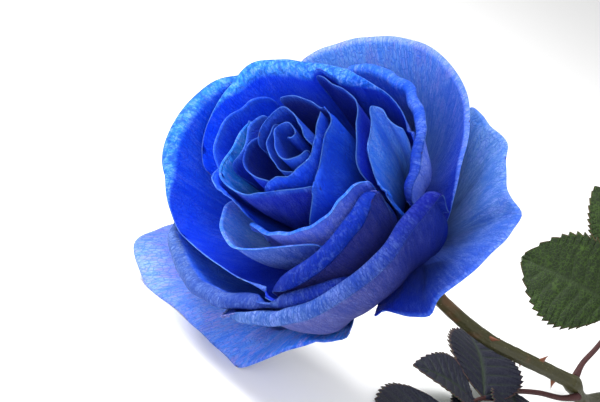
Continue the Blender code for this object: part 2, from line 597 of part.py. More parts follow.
def prickle(name, spine, ahead):
    """A short hooked prickle, wide along the stem and pointed."""
    out = unit(spine[1] - spine[0])
    sideways = np.cross(ahead, out)
    n = PRICKLE_SIDES
    turn = np.linspace(0, 2 * math.pi, n, endpoint=False)[:, None]
    ring = np.cos(turn) * ahead * PRICKLE_BASE[0] + np.sin(turn) * sideways * PRICKLE_BASE[1]
    points = np.concatenate([spine[0] + ring, spine[1] + 0.45 * ring, spine[:1], spine[2:]])
    root, point = 2 * n, 2 * n + 1
    faces = []
    for i in range(n):
        j = (i + 1) % n
        faces += [(i, j, n + j), (i, n + j, n + i), (root, j, i), (point, n + i, n + j)]
    return add_object(name, points, faces, GREEN_STEM)


# Each leaf: its axis from the stem outwards, then its leaflets as base, tip, width, the way the
# face looks, and how high it arches.
LEAVES = {
    "leaf_low": dict(
        axis=[(138.6, -8.65, 11.05), (131, -8.2, 9.2), (119, -5.6, 8.2), (104, -5.4, 6.8),
              (87, -9.4, 5.2), (70, -14.6, 3.6), (58, -18.4, 2.4)],
        leaflets=[
            dict(base=(84, -10.6, 4.9), tip=(100, 22, 13), width=34, face=(-0.1, -0.35, 1), arch=3.0),
            dict(base=(104, -5.4, 6.8), tip=(84, -37, 0.2), width=26, face=(0.0, -0.1, 1), arch=0.6),
            dict(base=(77, -12.4, 4.2), tip=(52, -1, 8), width=26, face=(0.0, -0.2, 1), arch=2.0),
            dict(base=(79, -11.8, 4.4), tip=(55, -44, 0.2), width=27, face=(0.0, -0.1, 1), arch=0.4),
            dict(base=(58.6, -18.2, 2.5), tip=(18, -27, -1.2), width=31, face=(0, 0, 1), arch=-0.6),
        ]),
    "leaf_high": dict(
        axis=[(139.8, -2.0, 15.55), (143, 0.6, 20), (149, 3, 26), (160, 9, 37), (168, 17, 47),
              (173, 26, 58)],
        leaflets=[
            dict(base=(163, 12, 41), tip=(130, 41, 40), width=39, face=(-0.55, -0.7, 0.35),
                 arch=4.0, skew=1.15),
            dict(base=(163, 12, 41), tip=(197, -10, 44), width=29, face=(-0.45, -0.6, 0.6),
                 arch=4.0),
            dict(base=(171, 22, 53), tip=(162, 52, 73), width=26, face=(-0.6, -0.6, 0.5),
                 arch=4.0),
            dict(base=(171, 22, 53), tip=(205, 6, 62), width=29, face=(-0.4, -0.7, 0.6),
                 arch=4.0),
            dict(base=(173, 26, 57.4), tip=(190, 52, 92), width=32, face=(-0.75, -0.4, 0.5),
                 arch=5.0),
        ]),
}
LEAFLET_STATIONS = 13
LEAFLET_TOOTH = 0.10
LEAFLET_SKEW = 0.8
LEAFLET_FOLD = 0.16
LEAF_RINGS = 14
RACHIS_RADII = (1.25, 0.75)


def leaflet(name, spec):
    """A toothed leaflet folded a little along its rib, arched from base to tip."""
    base, tip = np.array(spec["base"], float), np.array(spec["tip"], float)
    t = np.linspace(0.0, 1.0, LEAFLET_STATIONS)
    along = unit(tip - base)
    face = np.array(spec["face"], float)
    face = unit(face - face @ along * along)
    sideways = np.cross(face, along)
    outline = np.sin(math.pi * t**spec.get("skew", LEAFLET_SKEW))**0.75
    tooth = 1 + LEAFLET_TOOTH * (-1.0)**np.arange(LEAFLET_STATIONS)
    width = np.maximum(spec["width"] / 2 * outline * tooth, 0.7)
    rib = base + t[:, None] * (tip - base) + (spec["arch"] * np.sin(math.pi * t))[:, None] * face
    across = np.array([-1.0, 0.0, 1.0])
    net = rib[None] + (across[:, None] * width[None])[..., None] * sideways
    net = net + (LEAFLET_FOLD * np.abs(across)[:, None] * width[None])[..., None] * face
    net[..., 2] = np.maximum(net[..., 2], BLADE_THICKNESS / 2 - REST_PRESS)
    return blade(name, net, BLADE_THICKNESS, GREEN_LEAF)


def leaves():
    for name, spec in LEAVES.items():
        path = smooth_curve(spec["axis"], LEAF_RINGS)
        radii = np.linspace(*RACHIS_RADII, LEAF_RINGS)
        pieces = [tube(name, path, radii, RACHIS_SIDES, GREEN_LEAF)]
        for k, part in enumerate(spec["leaflets"]):
            pieces.append(leaflet(f"{name}_leaflet_{k}", part))
        fuse(name, pieces)


def clear_scene():
    for obj in list(bpy.data.objects):
        bpy.data.objects.remove(obj)


clear_scene()
bloom()
hip()
stem()
leaves()
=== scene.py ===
import math

import bpy
import numpy as np
from mathutils import Matrix


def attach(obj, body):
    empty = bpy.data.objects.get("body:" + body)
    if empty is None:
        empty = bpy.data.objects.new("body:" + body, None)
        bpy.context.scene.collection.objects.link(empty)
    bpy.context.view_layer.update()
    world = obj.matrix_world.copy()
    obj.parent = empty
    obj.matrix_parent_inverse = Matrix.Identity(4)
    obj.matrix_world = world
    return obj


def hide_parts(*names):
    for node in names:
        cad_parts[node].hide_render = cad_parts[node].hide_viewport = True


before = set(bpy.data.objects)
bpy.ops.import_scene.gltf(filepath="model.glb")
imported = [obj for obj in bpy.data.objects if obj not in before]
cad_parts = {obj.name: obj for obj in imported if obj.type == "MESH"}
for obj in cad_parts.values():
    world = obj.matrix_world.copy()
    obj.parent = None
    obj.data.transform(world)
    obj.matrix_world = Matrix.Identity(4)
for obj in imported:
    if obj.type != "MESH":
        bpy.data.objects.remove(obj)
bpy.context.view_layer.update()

mm = 0.001
print("frame loaded:", len(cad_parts), "nodes")

# How the rose lies: the bloom's axis rises by tilt from the surface, and azimuth sky looks straight up.
# height: of the bloom's own origin. shift: moves the middle of the whole rose to the frame's origin.
lying = dict(tilt=21.8, sky=1.7, height=52.5, shift=(-72.47, -3.74))

# The petals' grid, thickness and clearance from each other, the share of the roll that is left at their
# side edges, the least share of its radius, and the top and foot of the cone that their claws stand on,
# as (radius, height), with their gap from it. apart: steps of the grain between petals and between faces.
petalGrid = dict(columns=85, bodyRows=30, rollRows=13, thickness=0.32, clearance=0.40,
                 endRoll=0.6, leastLoop=0.45, coneTop=(1.5, 13.0), coneFoot=(8.8, -3.0), gap=0.3,
                 rimSeed=100, bodySeed=300, apart=(19.0, 7.0))

# Each petal from the heart outwards. rim: crest points as (azimuth, radius, height). lean and foot:
# slope at the rim and at the claw. reach: pull of both ends. curl: radius and angle of the rolled rim,
# roll: its share at each rim point. drop: fall of the side edges. claw: half angle of the foot.
# wave: height and count of the rim's ripples. ruffle: depth and count of the folds below it.
# nicks: small cuts as (place across, depth, width). inner, outer and lip: colours of the two faces and
# of the rolled band, from the first rim point to the last. They are partly the petal's own tone and partly
# painted light and shade, darker where a face lies in shade and lighter where it catches the light.
# veil, violet, blotch, lines: shares of pale streaks, violet clouds, dark blotches and fine cross lines.
petals = {
    "petal_heart_1": dict(
        rim=[(108, 2.7, 55), (98, 1.0, 55.5), (25, 1.7, 56), (47, 3.4, 56.5), (66, 5.3, 57),
             (82, 5.9, 57.5), (103, 6.5, 57.5), (132, 5.7, 57.5), (172, 5.7, 57.3), (205, 6.9, 57),
             (230, 8.0, 57), (252, 7.8, 56.5), (272, 6.4, 55)],
        lean=90, foot=56, reach=(0.12, 0.75), curl=(0.6, 40), drop=4, claw=130, wave=(0.2, 9),
        inner=[(0.014, 0.05, 0.42)], outer=[(0.014, 0.06, 0.48)], lip=[(0.03, 0.12, 0.6)], veil=0.15,
        violet=0.25, blotch=0.1, lines=0.2),
    "petal_heart_2": dict(
        rim=[(95, 10.6, 54), (117, 9.4, 55), (138, 8.7, 55), (165, 8.7, 54.5), (197, 9.6, 54.5),
             (218, 10.2, 54), (236, 9.4, 51)],
        lean=90, foot=34, reach=(0.14, 0.7), curl=(0.6, 30), drop=10, claw=60, wave=(0.3, 9),
        nicks=[(-0.5, 0.5, 0.04)], inner=[(0.014, 0.05, 0.42)], outer=[(0.016, 0.08, 0.56)],
        lip=[(0.03, 0.12, 0.6)], veil=0.15, violet=0.25, blotch=0.1, lines=0.2),
    "petal_heart_3": dict(
        rim=[(-50, 4.6, 56), (0, 4.4, 57), (25, 5.2, 57), (52, 8.6, 57), (66, 11.2, 57.5), (82, 12.4, 56.5),
             (100, 12.6, 56), (124, 13.2, 53.5)],
        lean=92, foot=40, reach=(0.15, 0.7), curl=(0.6, 40), drop=9, claw=70, wave=(0.35, 9),
        nicks=[(0.1, 0.6, 0.03)], inner=[(0.014, 0.05, 0.42)],
        outer=[(0.016, 0.08, 0.56), (0.016, 0.06, 0.5)], lip=[(0.03, 0.12, 0.6), (0.04, 0.15, 0.62)],
        veil=0.25, violet=0.25, blotch=0.1, lines=0.2),
    "petal_heart_4": dict(
        rim=[(112, 16.4, 50), (126, 16.8, 52.5), (144, 17.9, 53), (158, 17.3, 53), (173, 15.6, 53),
             (188, 14.0, 52)],
        lean=94, foot=36, reach=(0.2, 0.6), curl=(0.6, 60), drop=14, claw=40, wave=(0.3, 8),
        inner=[(0.008, 0.02, 0.2), (0.01, 0.02, 0.24)], outer=[(0.04, 0.08, 0.84), (0.016, 0.05, 0.56)],
        lip=[(0.02, 0.09, 0.5), (0.03, 0.12, 0.6)], veil=0.1, violet=0.3, blotch=0.1, lines=0.1),
    "petal_heart_5": dict(
        rim=[(187, 16.4, 50.5), (199, 14.0, 54), (211, 12.8, 56), (225, 11.8, 54.5), (243, 10.0, 55),
             (266, 8.8, 55), (300, 7.0, 55), (330, 7.2, 55), (346, 8.4, 55), (371, 11.4, 53)],
        lean=92, foot=36, reach=(0.18, 0.65), curl=(0.6, 40), drop=9, claw=60, wave=(0.35, 11),
        nicks=[(-0.62, 0.8, 0.03)], inner=[(0.01, 0.025, 0.24)],
        outer=[(0.012, 0.06, 0.6), (0.008, 0.055, 0.6)], lip=[(0.03, 0.14, 0.62), (0.03, 0.12, 0.6)],
        veil=0.3, violet=0.15, blotch=0.1, lines=0.25),
    "petal_inner_1": dict(
        rim=[(94, 26.5, 45), (101, 25, 48), (108, 23, 50), (116, 21, 50.4), (125, 20, 50.4), (132, 21, 50),
             (136, 24, 48.5)],
        lean=88, foot=34, reach=(0.28, 0.5), curl=(0.8, 60), drop=16, claw=28, wave=(0.25, 5),
        inner=[(0.014, 0.04, 0.4)], outer=[(0.02, 0.07, 0.4)], lip=[(0.05, 0.18, 0.66)], veil=0.1,
        violet=0.2, blotch=0.1, lines=0.1),
    "petal_inner_2": dict(
        rim=[(103, 26.4, 46.5), (112, 25.2, 49), (124, 25.2, 50.2), (137, 26.4, 50.4), (146, 27.1, 50.4),
             (160, 24.7, 50.8), (175, 21.8, 51.1), (191, 17, 51.2), (212, 14.6, 51.4), (232, 14.2, 51.3),
             (248, 14, 49.5)],
        lean=90, foot=32, reach=(0.25, 0.55), curl=(0.8, 60), drop=16, claw=36, wave=(0.4, 9),
        nicks=[(-0.55, 0.7, 0.03)], inner=[(0.04, 0.37, 0.92), (0.012, 0.04, 0.36)],
        outer=[(0.05, 0.08, 0.52), (0.004, 0.01, 0.26)], lip=[(0.06, 0.24, 0.76), (0.03, 0.14, 0.64)],
        veil=0.45, violet=0.45, blotch=0.1, lines=0.3),
    "petal_inner_3": dict(
        rim=[(-133, 19.5, 40), (-122, 17.0, 46), (-111, 15.0, 50), (-98, 12.6, 51.5), (-75, 10.4, 52.5),
             (-42, 9.0, 53), (-18, 11.4, 53.5), (4, 12.8, 53), (26, 13.4, 52.5), (44, 15.4, 52),
             (58, 18.0, 52), (73, 21.6, 50)],
        lean=91, foot=30, reach=(0.25, 0.55), curl=(0.8, 50), drop=12, claw=40, wave=(0.45, 11),
        nicks=[(0.2, 0.7, 0.02)], inner=[(0.01, 0.02, 0.2), (0.012, 0.02, 0.18)],
        outer=[(0.012, 0.045, 0.42), (0.008, 0.1, 0.84)], lip=[(0.03, 0.14, 0.62), (0.03, 0.12, 0.6)],
        veil=0.15, violet=0.1, blotch=0.15, lines=0.15),
    "petal_ring_1": dict(
        rim=[(85, 31.8, 44.5), (91, 32, 47), (97, 31.9, 47.8), (104, 34.2, 48), (111, 34.6, 48.3),
             (121, 33.7, 48.5), (130, 31.4, 48.5), (142, 28.4, 48.5), (158, 25.4, 48.5), (170, 25, 47)],
        lean=90, foot=28, reach=(0.34, 0.5), curl=(0.8, 60), drop=16, claw=26, wave=(0.3, 9),
        inner=[(0.004, 0.05, 0.76), (0.008, 0.065, 0.72)], outer=[(0.1, 0.14, 0.76), (0.06, 0.11, 0.6)],
        lip=[(0.03, 0.14, 0.66), (0.04, 0.17, 0.7)], veil=0.15, violet=0.1, blotch=0.15, lines=0.1),
    "petal_ring_2": dict(
        rim=[(-64, 18.4, 46.5), (-49, 17.7, 49.5), (-30, 17.7, 50.3), (-10, 19.5, 50), (4, 21, 49.5),
             (19, 22.2, 48.6), (37, 25.2, 47.2), (49, 28.6, 45.3)],
        lean=90, foot=26, reach=(0.3, 0.5), curl=(0.8, 50), drop=15, claw=26, wave=(0.35, 9),
        inner=[(0.012, 0.02, 0.18), (0.01, 0.025, 0.24)], outer=[(0.004, 0.02, 0.46), (0.014, 0.025, 0.2)],
        lip=[(0.03, 0.12, 0.56)], veil=0.15, violet=0.25, blotch=0.15, lines=0.1),
    "petal_ring_3": dict(
        rim=[(183, 26.2, 43.5), (190, 26.2, 45.2), (201, 26.6, 45.8), (215, 26.3, 45.8), (227, 24.8, 45.8),
             (239, 23.8, 45.8), (251, 22.7, 45.3), (264, 20.8, 44.8), (285, 19, 42.5)],
        lean=90, foot=26, reach=(0.34, 0.5), curl=(1.0, 110), drop=15, claw=26, wave=(0.5, 11),
        nicks=[(0.25, 0.6, 0.02)], inner=[(0.02, 0.12, 0.62), (0.04, 0.18, 0.72)],
        outer=[(0.28, 0.33, 0.92), (0.04, 0.09, 0.6)], lip=[(0.05, 0.2, 0.72)], veil=0.5, violet=0.35,
        blotch=0.15, lines=0.3),
    "petal_ring_4": dict(
        rim=[(146, 29.6, 36), (152, 31.2, 40), (162, 33.4, 42), (175, 34.8, 43), (186, 34.6, 43.5),
             (196, 32.0, 43.5), (208, 29.6, 43), (220, 28.4, 43), (231, 27.4, 41)],
        lean=88, foot=14, reach=(0.4, 0.5), curl=(0.9, 80), drop=14, claw=22, wave=(0.4, 9),
        inner=[(0.2, 0.44, 0.92), (0.05, 0.18, 0.8)], outer=[(0.2, 0.36, 0.92), (0.03, 0.05, 0.3)],
        lip=[(0.08, 0.28, 0.84), (0.04, 0.16, 0.66)], veil=0.7, violet=0.4, blotch=0.15, lines=0.3),
    "petal_roll_1": dict(
        rim=[(210, 39.0, 37), (215, 38.0, 40), (221, 36.6, 41.8), (233, 33.0, 42.3), (248, 28.6, 42.3),
             (261, 25.4, 42.2), (272, 23.2, 41.6), (284, 21.7, 39.5)],
        roll=[0.5, 0.8, 1, 1, 1, 1, 0.9, 0.6], lean=90, foot=15, reach=(0.4, 0.5), curl=(2.7, 215), drop=14,
        claw=22, wave=(0.25, 8), inner=[(0.02, 0.07, 0.5)], outer=[(0.08, 0.07, 0.36), (0.06, 0.08, 0.38)],
        lip=[(0.004, 0.015, 0.2), (0.006, 0.035, 0.32)], veil=0.3, violet=0.6, blotch=0.15, lines=0.5),
    "petal_roll_2": dict(
        rim=[(290, 21.4, 37), (297, 21, 42.5), (308, 20.4, 45.2), (322, 20.6, 46.8), (336, 21.9, 47.8),
             (345, 23.6, 48.4), (343, 25.4, 47), (337, 26.4, 45.2), (331, 27.4, 43)],
        lean=84, foot=22, reach=(0.36, 0.45), curl=(0.8, 40), drop=10, claw=22, ruffle=(0.5, 3),
        wave=(0.5, 9), inner=[(0.03, 0.12, 0.7)], outer=[(0.03, 0.2, 0.84), (0.13, 0.33, 0.86)],
        lip=[(0.06, 0.18, 0.66), (0.05, 0.15, 0.6)], veil=0.45, violet=0.3, blotch=0.15, lines=0.35),
    "petal_roll_3": dict(
        rim=[(330, 27.2, 34.8), (341, 28.8, 38), (356, 29.4, 41), (12, 29.6, 43.2), (30, 29.8, 44.4),
             (50, 31.8, 44.8), (61, 35.0, 44.8), (69, 39.4, 44.7), (77, 43.4, 44.3), (84, 46.2, 43.8),
             (92, 46.6, 43.6), (104, 44.6, 43.8), (118, 42.2, 43), (126, 41.8, 40)],
        roll=[0.2, 0.2, 0.2, 0.3, 0.8, 1, 1, 1, 1, 0.9, 0.55, 0.12, 0, 0], lean=84, foot=16,
        reach=(0.42, 0.45), curl=(3.8, 150), drop=12, claw=22, wave=(0.4, 11),
        inner=[(0.03, 0.08, 0.7), (0.004, 0.085, 0.92)], outer=[(0.05, 0.1, 0.46)],
        lip=[(0.02, 0.14, 0.76), (0.06, 0.38, 0.92)], veil=0.25, violet=0.15, blotch=0.8, lines=0.3),
    "petal_roll_4": dict(
        rim=[(300, 28, 32.5), (309, 29, 34.6), (321, 30.8, 37), (332, 32.8, 38.3), (344, 33.8, 38.8),
             (354, 34.6, 38.8), (8, 34.8, 38.8), (26, 35.4, 37.8), (41, 36.2, 35.5)],
        lean=84, foot=14, reach=(0.42, 0.45), curl=(1.8, 160), drop=12, claw=20, ruffle=(0.4, 5),
        wave=(0.55, 12), nicks=[(-0.25, 1.2, 0.03)], inner=[(0.008, 0.02, 0.26), (0.04, 0.2, 0.9)],
        outer=[(0.24, 0.33, 0.9), (0.08, 0.14, 0.5)], lip=[(0.05, 0.1, 0.42), (0.016, 0.1, 0.5)], veil=0.55,
        violet=0.25, blotch=0.05, lines=0.4),
    "petal_cup_1": dict(
        rim=[(84, 50, 38), (90, 51, 42.5), (96, 52, 44.6), (102, 53, 45), (108, 54, 45), (115, 54.6, 45),
             (122, 54.2, 44.4), (128, 53.7, 43), (135, 52.6, 41), (142, 51.8, 39), (151, 49.4, 37.5),
             (162, 45.6, 36.5), (175, 42.1, 36.5), (191, 39.5, 36.5), (199, 38.6, 36.3), (205, 38.2, 35.6),
             (211, 38, 33.6)],
        roll=[0.3, 0.6, 0.8, 1, 1, 1, 1, 0.8, 0.4, 0.15, 0, 0, 0, 0, 0, 0, 0], lean=78, foot=12,
        reach=(0.45, 0.42), curl=(3.4, 160), drop=16, claw=20, wave=(0.4, 11),
        inner=[(0.004, 0.08, 0.78), (0.01, 0.04, 0.56)], outer=[(0.1, 0.18, 0.6)],
        lip=[(0.05, 0.32, 0.92), (0.03, 0.14, 0.68)], veil=0.35, violet=0.2, blotch=0.7, lines=0.35),
    "petal_cup_2": dict(
        rim=[(143, 53.6, 31.8), (149, 53.8, 34.3), (155, 53.6, 35.4), (162, 52.8, 35.6), (169, 51.8, 35.6),
             (176, 50.8, 35.6), (183, 49.2, 35.6), (190, 47.2, 35.6), (198, 44.6, 35.6), (210, 41.8, 35.6),
             (223, 39.9, 35.6), (232, 38, 34.6), (241, 36.4, 31.6)],
        roll=[0.3, 0.7, 1, 1, 1, 1, 1, 1, 1, 1, 1, 0.9, 0.6], lean=80, foot=10, reach=(0.5, 0.42),
        curl=(2.6, 170), drop=10, claw=20, wave=(0.35, 11), inner=[(0.05, 0.2, 0.92), (0.012, 0.04, 0.4)],
        outer=[(0.1, 0.18, 0.5), (0.05, 0.1, 0.36)], lip=[(0.12, 0.19, 0.4), (0.004, 0.02, 0.28)], veil=0.4,
        violet=0.2, blotch=0.2, lines=1.0),
    "petal_cup_3": dict(
        rim=[(180, 43, 20), (186, 46.6, 27), (193, 48.8, 33), (200, 48.6, 35.2), (211, 47.2, 36.5),
             (223, 45.6, 37), (233, 43.6, 37), (243, 41.1, 37), (255, 39.2, 37), (265, 38, 37),
             (279, 36, 37), (289, 37, 37.4), (296, 38.4, 37)],
        roll=[0, 0.2, 0.7, 1, 1, 1, 1, 1, 1, 1, 1, 1, 0.9], lean=84, foot=0, reach=(0.6, 0.45),
        curl=(2.4, 190), drop=14, claw=20, wave=(0.35, 11),
        inner=[(0.02, 0.06, 0.44), (0.012, 0.045, 0.42)], outer=[(0.2, 0.19, 0.42), (0.006, 0.02, 0.22)],
        lip=[(0.1, 0.2, 0.44), (0.004, 0.005, 0.2)], veil=0.55, violet=0.5, blotch=0.1, lines=0.9),
    "petal_outer_1": dict(
        rim=[(302, 25.0, 4), (305, 28.0, 8), (311, 32.0, 13.5), (321, 36.0, 18.5), (331, 40.2, 22.5),
             (344, 45.4, 25), (355, 48.4, 26.5), (7, 50.4, 27.5), (22, 52.4, 28), (36, 53.0, 28),
             (50, 53.6, 28), (61, 54.0, 27.5), (70, 53.6, 25)],
        roll=[0, 0.2, 0.5, 0.8, 1, 1, 1, 1, 1, 1, 1, 1, 0.6], lean=48, foot=4, reach=(0.42, 0.4),
        curl=(2.2, 70), drop=5, claw=19, wave=(0.4, 11), inner=[(0.004, 0.015, 0.44), (0.17, 0.41, 0.9)],
        outer=[(0.12, 0.2, 0.6)], lip=[(0.08, 0.18, 0.66), (0.32, 0.4, 0.86)], veil=0.35, violet=0.7,
        blotch=0.15, lines=0.35),
    "petal_outer_2": dict(
        rim=[(76, 50.0, 12), (88, 55.0, 18), (103, 57.6, 20), (118, 58.4, 20), (131, 56.4, 17),
             (143, 50.0, 11)],
        lean=42, foot=2, reach=(0.42, 0.4), curl=(2.6, 90), drop=4, claw=17, wave=(0.6, 9),
        inner=[(0.06, 0.2, 0.76)], outer=[(0.12, 0.2, 0.6)], lip=[(0.12, 0.28, 0.76)], veil=0.55,
        violet=0.3, blotch=0.2, lines=0.3),
    "petal_outer_3": dict(
        rim=[(238, 32, 7), (244, 35.5, 8.4), (250, 39.4, 9.8), (256, 44.2, 11.5), (262, 48, 13),
             (267, 46.6, 14), (273, 47.4, 14.5), (282, 50, 14.6), (292, 52.2, 15), (299, 54.6, 15),
             (305, 55.6, 15), (310, 52, 15), (317, 49.4, 15), (324, 49.4, 15.5), (331, 51, 16.2),
             (336, 50.2, 16.2), (342, 48.6, 16), (349, 47.2, 15.5), (357, 45.6, 13)],
        roll=[0, 0.3, 1, 1, 1, 1, 1, 1, 1, 1, 1, 1, 1, 1, 1, 1, 1, 0.8, 0.3], lean=26, foot=-7,
        reach=(0.42, 0.38), curl=(2.0, 55), drop=6, claw=19, wave=(0.5, 13),
        inner=[(0.004, 0.02, 0.42), (0.14, 0.29, 0.58)], outer=[(0.12, 0.2, 0.6)],
        lip=[(0.02, 0.07, 0.44), (0.16, 0.28, 0.7)], veil=0.45, violet=0.35, blotch=0.15, lines=0.4),
    "petal_outer_4": dict(
        rim=[(140.5, 63, 25.4), (142.5, 73.6, 23.4), (146, 74, 21.8), (152, 72.4, 19.4), (157, 69, 17),
             (160, 66.4, 15.6), (170, 63.4, 12), (179, 61.4, 10.5), (185, 61.2, 9.6), (188.5, 60.6, 9.4),
             (193, 56, 9.4), (200, 50.4, 9.4), (207, 46, 9.4), (216, 42, 9.4), (222, 39, 9)],
        roll=[0.6, 1, 1, 1, 1, 1, 1, 1, 1, 1, 1, 1, 1, 1, 0.6], lean=16, foot=-13, reach=(0.42, 0.36),
        curl=(2.0, 50), drop=7, claw=19, wave=(0.5, 12), inner=[(0.32, 0.45, 0.9), (0.05, 0.3, 0.92)],
        outer=[(0.12, 0.2, 0.6)], lip=[(0.34, 0.45, 0.88), (0.05, 0.17, 0.66)], veil=1.0, violet=0.8,
        blotch=0.15, lines=0.5),
}


def unit(v):
    # Each vector divided by its own length.
    return v / np.maximum(np.linalg.norm(v, axis=-1, keepdims=True), 1e-9)


def chordLengths(p):
    # Summed straight distances from the first point to each.
    return np.concatenate([[0.0], np.cumsum(np.linalg.norm(np.diff(p, axis=0), axis=1))])


def smoothCurve(points, count):
    # Cubic Hermite spans through the points, slopes by central differences, equal steps of chord length.
    p = np.asarray(points, float)
    chord = chordLengths(p)
    slope = np.gradient(p, chord, axis=0)
    t = np.linspace(0.0, chord[-1], count)
    i = np.clip(np.searchsorted(chord, t, side="right") - 1, 0, len(p) - 2)
    span = (chord[i + 1] - chord[i])[:, None]
    f = (t - chord[i])[:, None] / span
    start = (2 * f**3 - 3 * f**2 + 1) * p[i] + (f**3 - 2 * f**2 + f) * span * slope[i]
    return start + (3 * f**2 - 2 * f**3) * p[i + 1] + (f**3 - f**2) * span * slope[i + 1]


def cylindrical(azimuth, radius, h):
    # Points at radius and height h, turned by azimuth from the first axis.
    a = np.radians(azimuth)
    height = np.broadcast_to(h, np.shape(a)).astype(float)
    return np.stack([radius * np.cos(a), radius * np.sin(a), height], axis=-1)


def turns(count):
    # Evenly spaced angles of one full turn.
    return np.linspace(0, 2 * math.pi, count, endpoint=False)


def ripple(t, seed, waves):
    # Sum of sines from one wave to the given count across, each with a seeded phase and share.
    draw = np.random.default_rng(seed)
    k = np.arange(1, waves + 1) / 2
    phase = draw.uniform(0, 2 * math.pi, waves)
    share = draw.uniform(0.3, 1.0, waves) / np.sqrt(k)
    return (share * np.sin(math.pi * t[..., None] * k * 2 + phase)).sum(-1) / np.sqrt((share**2).sum())


def rollShare(spec, corners, across):
    # Share of the curl at each column: the given one by chord length, averaged over nine columns, or
    # else the root of 1.02 less the fourth power of the place across.
    if "roll" not in spec:
        return np.sqrt(1.02 - across**4)
    chord = chordLengths(corners)
    roll, end = spec["roll"], petalGrid["endRoll"]
    share = np.interp((across + 1) / 2 * chord[-1], chord, [roll[0] * end, *roll, roll[-1] * end])
    return np.convolve(np.pad(share, 4, mode="edge"), np.ones(9) / 9, mode="valid")


def petalSheet(order, spec):
    # Middle surface of a petal: across it runs a spline through the rim points, and each column is a
    # cubic Bezier from the claw on the cone to the rim, followed by a circular arc for the rolled rim.
    # Ripples lift the rim, and ripples and folds bend the column by a power of its length.
    g = petalGrid
    lean = math.radians(spec["lean"])
    rim = np.array(spec["rim"], float)
    rim[:, 0] = np.degrees(np.unwrap(np.radians(rim[:, 0])))
    side = np.array([2.0, spec["drop"] * math.cos(lean), spec["drop"] * math.sin(lean)])
    az, radius, h = np.concatenate([rim[:1] - side, rim, rim[-1:] + side * (1, -1, -1)]).T
    corners = cylindrical(az, radius, h)
    crest = smoothCurve(corners, g["columns"])
    across = np.linspace(-1.0, 1.0, g["columns"])
    out = unit(crest * (1, 1, 0))
    up = np.array([0.0, 0.0, 1.0])

    height, waves = spec["wave"]
    crest = crest + (height * ripple(across, g["rimSeed"] + order, waves))[:, None] * up
    curlRadius, curlAngle = spec["curl"]
    share = rollShare(spec, corners, across)
    rise = math.cos(lean) * out + math.sin(lean) * up
    over = math.sin(lean) * out - math.cos(lean) * up
    turn = np.radians(curlAngle) * share
    loop = curlRadius * (g["leastLoop"] + (1 - g["leastLoop"]) * share)[:, None]
    top = np.minimum(turn, math.pi / 2)[:, None]
    start = crest - loop * (np.sin(top) * rise + (1 - np.cos(top)) * over)

    place = (order + 0.5) / len(petals)
    cone = np.array(g["coneTop"]) + place * (np.array(g["coneFoot"]) - g["coneTop"])
    slope = unit(np.array([g["coneTop"][1] - g["coneFoot"][1], g["coneFoot"][0] - g["coneTop"][0]]))
    cone = cone + g["gap"] * slope
    claw = cylindrical((az[0] + az[-1]) / 2 + spec["claw"] * across, cone[0], cone[1])

    span = np.linalg.norm(start - claw, axis=1)[:, None]
    foot = math.radians(spec["foot"])
    away = unit(claw * (1, 1, 0) + 0.5 * out * cone[0])
    pullFoot = claw + spec["reach"][0] * span * (math.cos(foot) * away + math.sin(foot) * up)
    pullRim = start - spec["reach"][1] * span * rise
    t = np.linspace(0.0, 1.0, g["bodyRows"])[None, :, None]
    claw, start, pullFoot, pullRim = (p[:, None, :] for p in (claw, start, pullFoot, pullRim))
    body = (1 - t)**3 * claw + 3 * (1 - t)**2 * t * pullFoot + 3 * (1 - t) * t**2 * pullRim + t**3 * start
    bend = height * ripple(across * 0.9 + 0.3, g["bodySeed"] + order, waves)[:, None, None] * t**5
    if "ruffle" in spec:
        depth, count = spec["ruffle"]
        bend = bend + depth * np.sin(math.pi * count * across)[:, None, None] * t**4
    body = body + bend * out[:, None, :]
    start = body[:, -1:, :]

    step = np.linspace(0.0, 1.0, g["rollRows"] + 1)[None, 1:, None]
    angle = turn[:, None, None] * step
    bent = np.sin(angle) * rise[:, None, :] + (1 - np.cos(angle)) * over[:, None, :]
    rolled = start + loop[:, None] * bent
    net = np.concatenate([body, rolled], axis=1)
    flat = np.zeros((g["columns"], g["bodyRows"]))
    curl = np.concatenate([flat, np.broadcast_to(angle[..., 0], rolled.shape[:2])], axis=1)
    return trimRim(net, curl, spec.get("nicks", ()), across)


def trimRim(net, curl, nicks, across):
    # Each column cut short by the nicks, a bell curve round each place, and spaced out again.
    length = np.linalg.norm(np.diff(net, axis=1), axis=-1).sum(axis=1)
    cut = sum((d * np.exp(-((across - a) / w)**2) for a, d, w in nicks), np.zeros(len(across)))
    rows = net.shape[1]
    at = np.linspace(0, rows - 1, rows)[None, :] * (1 - cut / length)[:, None]
    low = np.clip(at.astype(int), 0, rows - 2)
    f = at - low
    column = np.arange(len(across))[:, None]
    g = f[..., None]
    net = (1 - g) * net[column, low] + g * net[column, low + 1]
    return net, (1 - f) * curl[column, low] + f * curl[column, low + 1]


# Nested petals are kept apart along rays that fan out from a ring behind the axis. loose: share of the
# spread push that the rim loses, and the places from claw to rim between which it does.
fanOut = dict(radius=-18.0, h=14.0, around=180, tilts=200, tiltStep=0.75,
              rounds=3, softer=6, leastFacing=0.35, loose=(0.9, 0.4, 0.75), clawRows=6)


def fanPlace(net):
    # Azimuth, tilt from the axis and length of the ray from the ring to each point.
    radius = np.hypot(net[..., 0], net[..., 1])
    azimuth = np.degrees(np.arctan2(net[..., 1], net[..., 0])) % 360
    away, rise = radius - fanOut["radius"], net[..., 2] - fanOut["h"]
    return azimuth, np.degrees(np.arctan2(away, rise)), np.hypot(away, rise)


def fanCell(azimuth, tilt):
    # The cell of the fan's grid that each ray falls in: its angles divided by the steps.
    across = (azimuth / (360 / fanOut["around"])).astype(int) % fanOut["around"]
    return across, np.clip((tilt / fanOut["tiltStep"]).astype(int), 0, fanOut["tilts"] - 1)


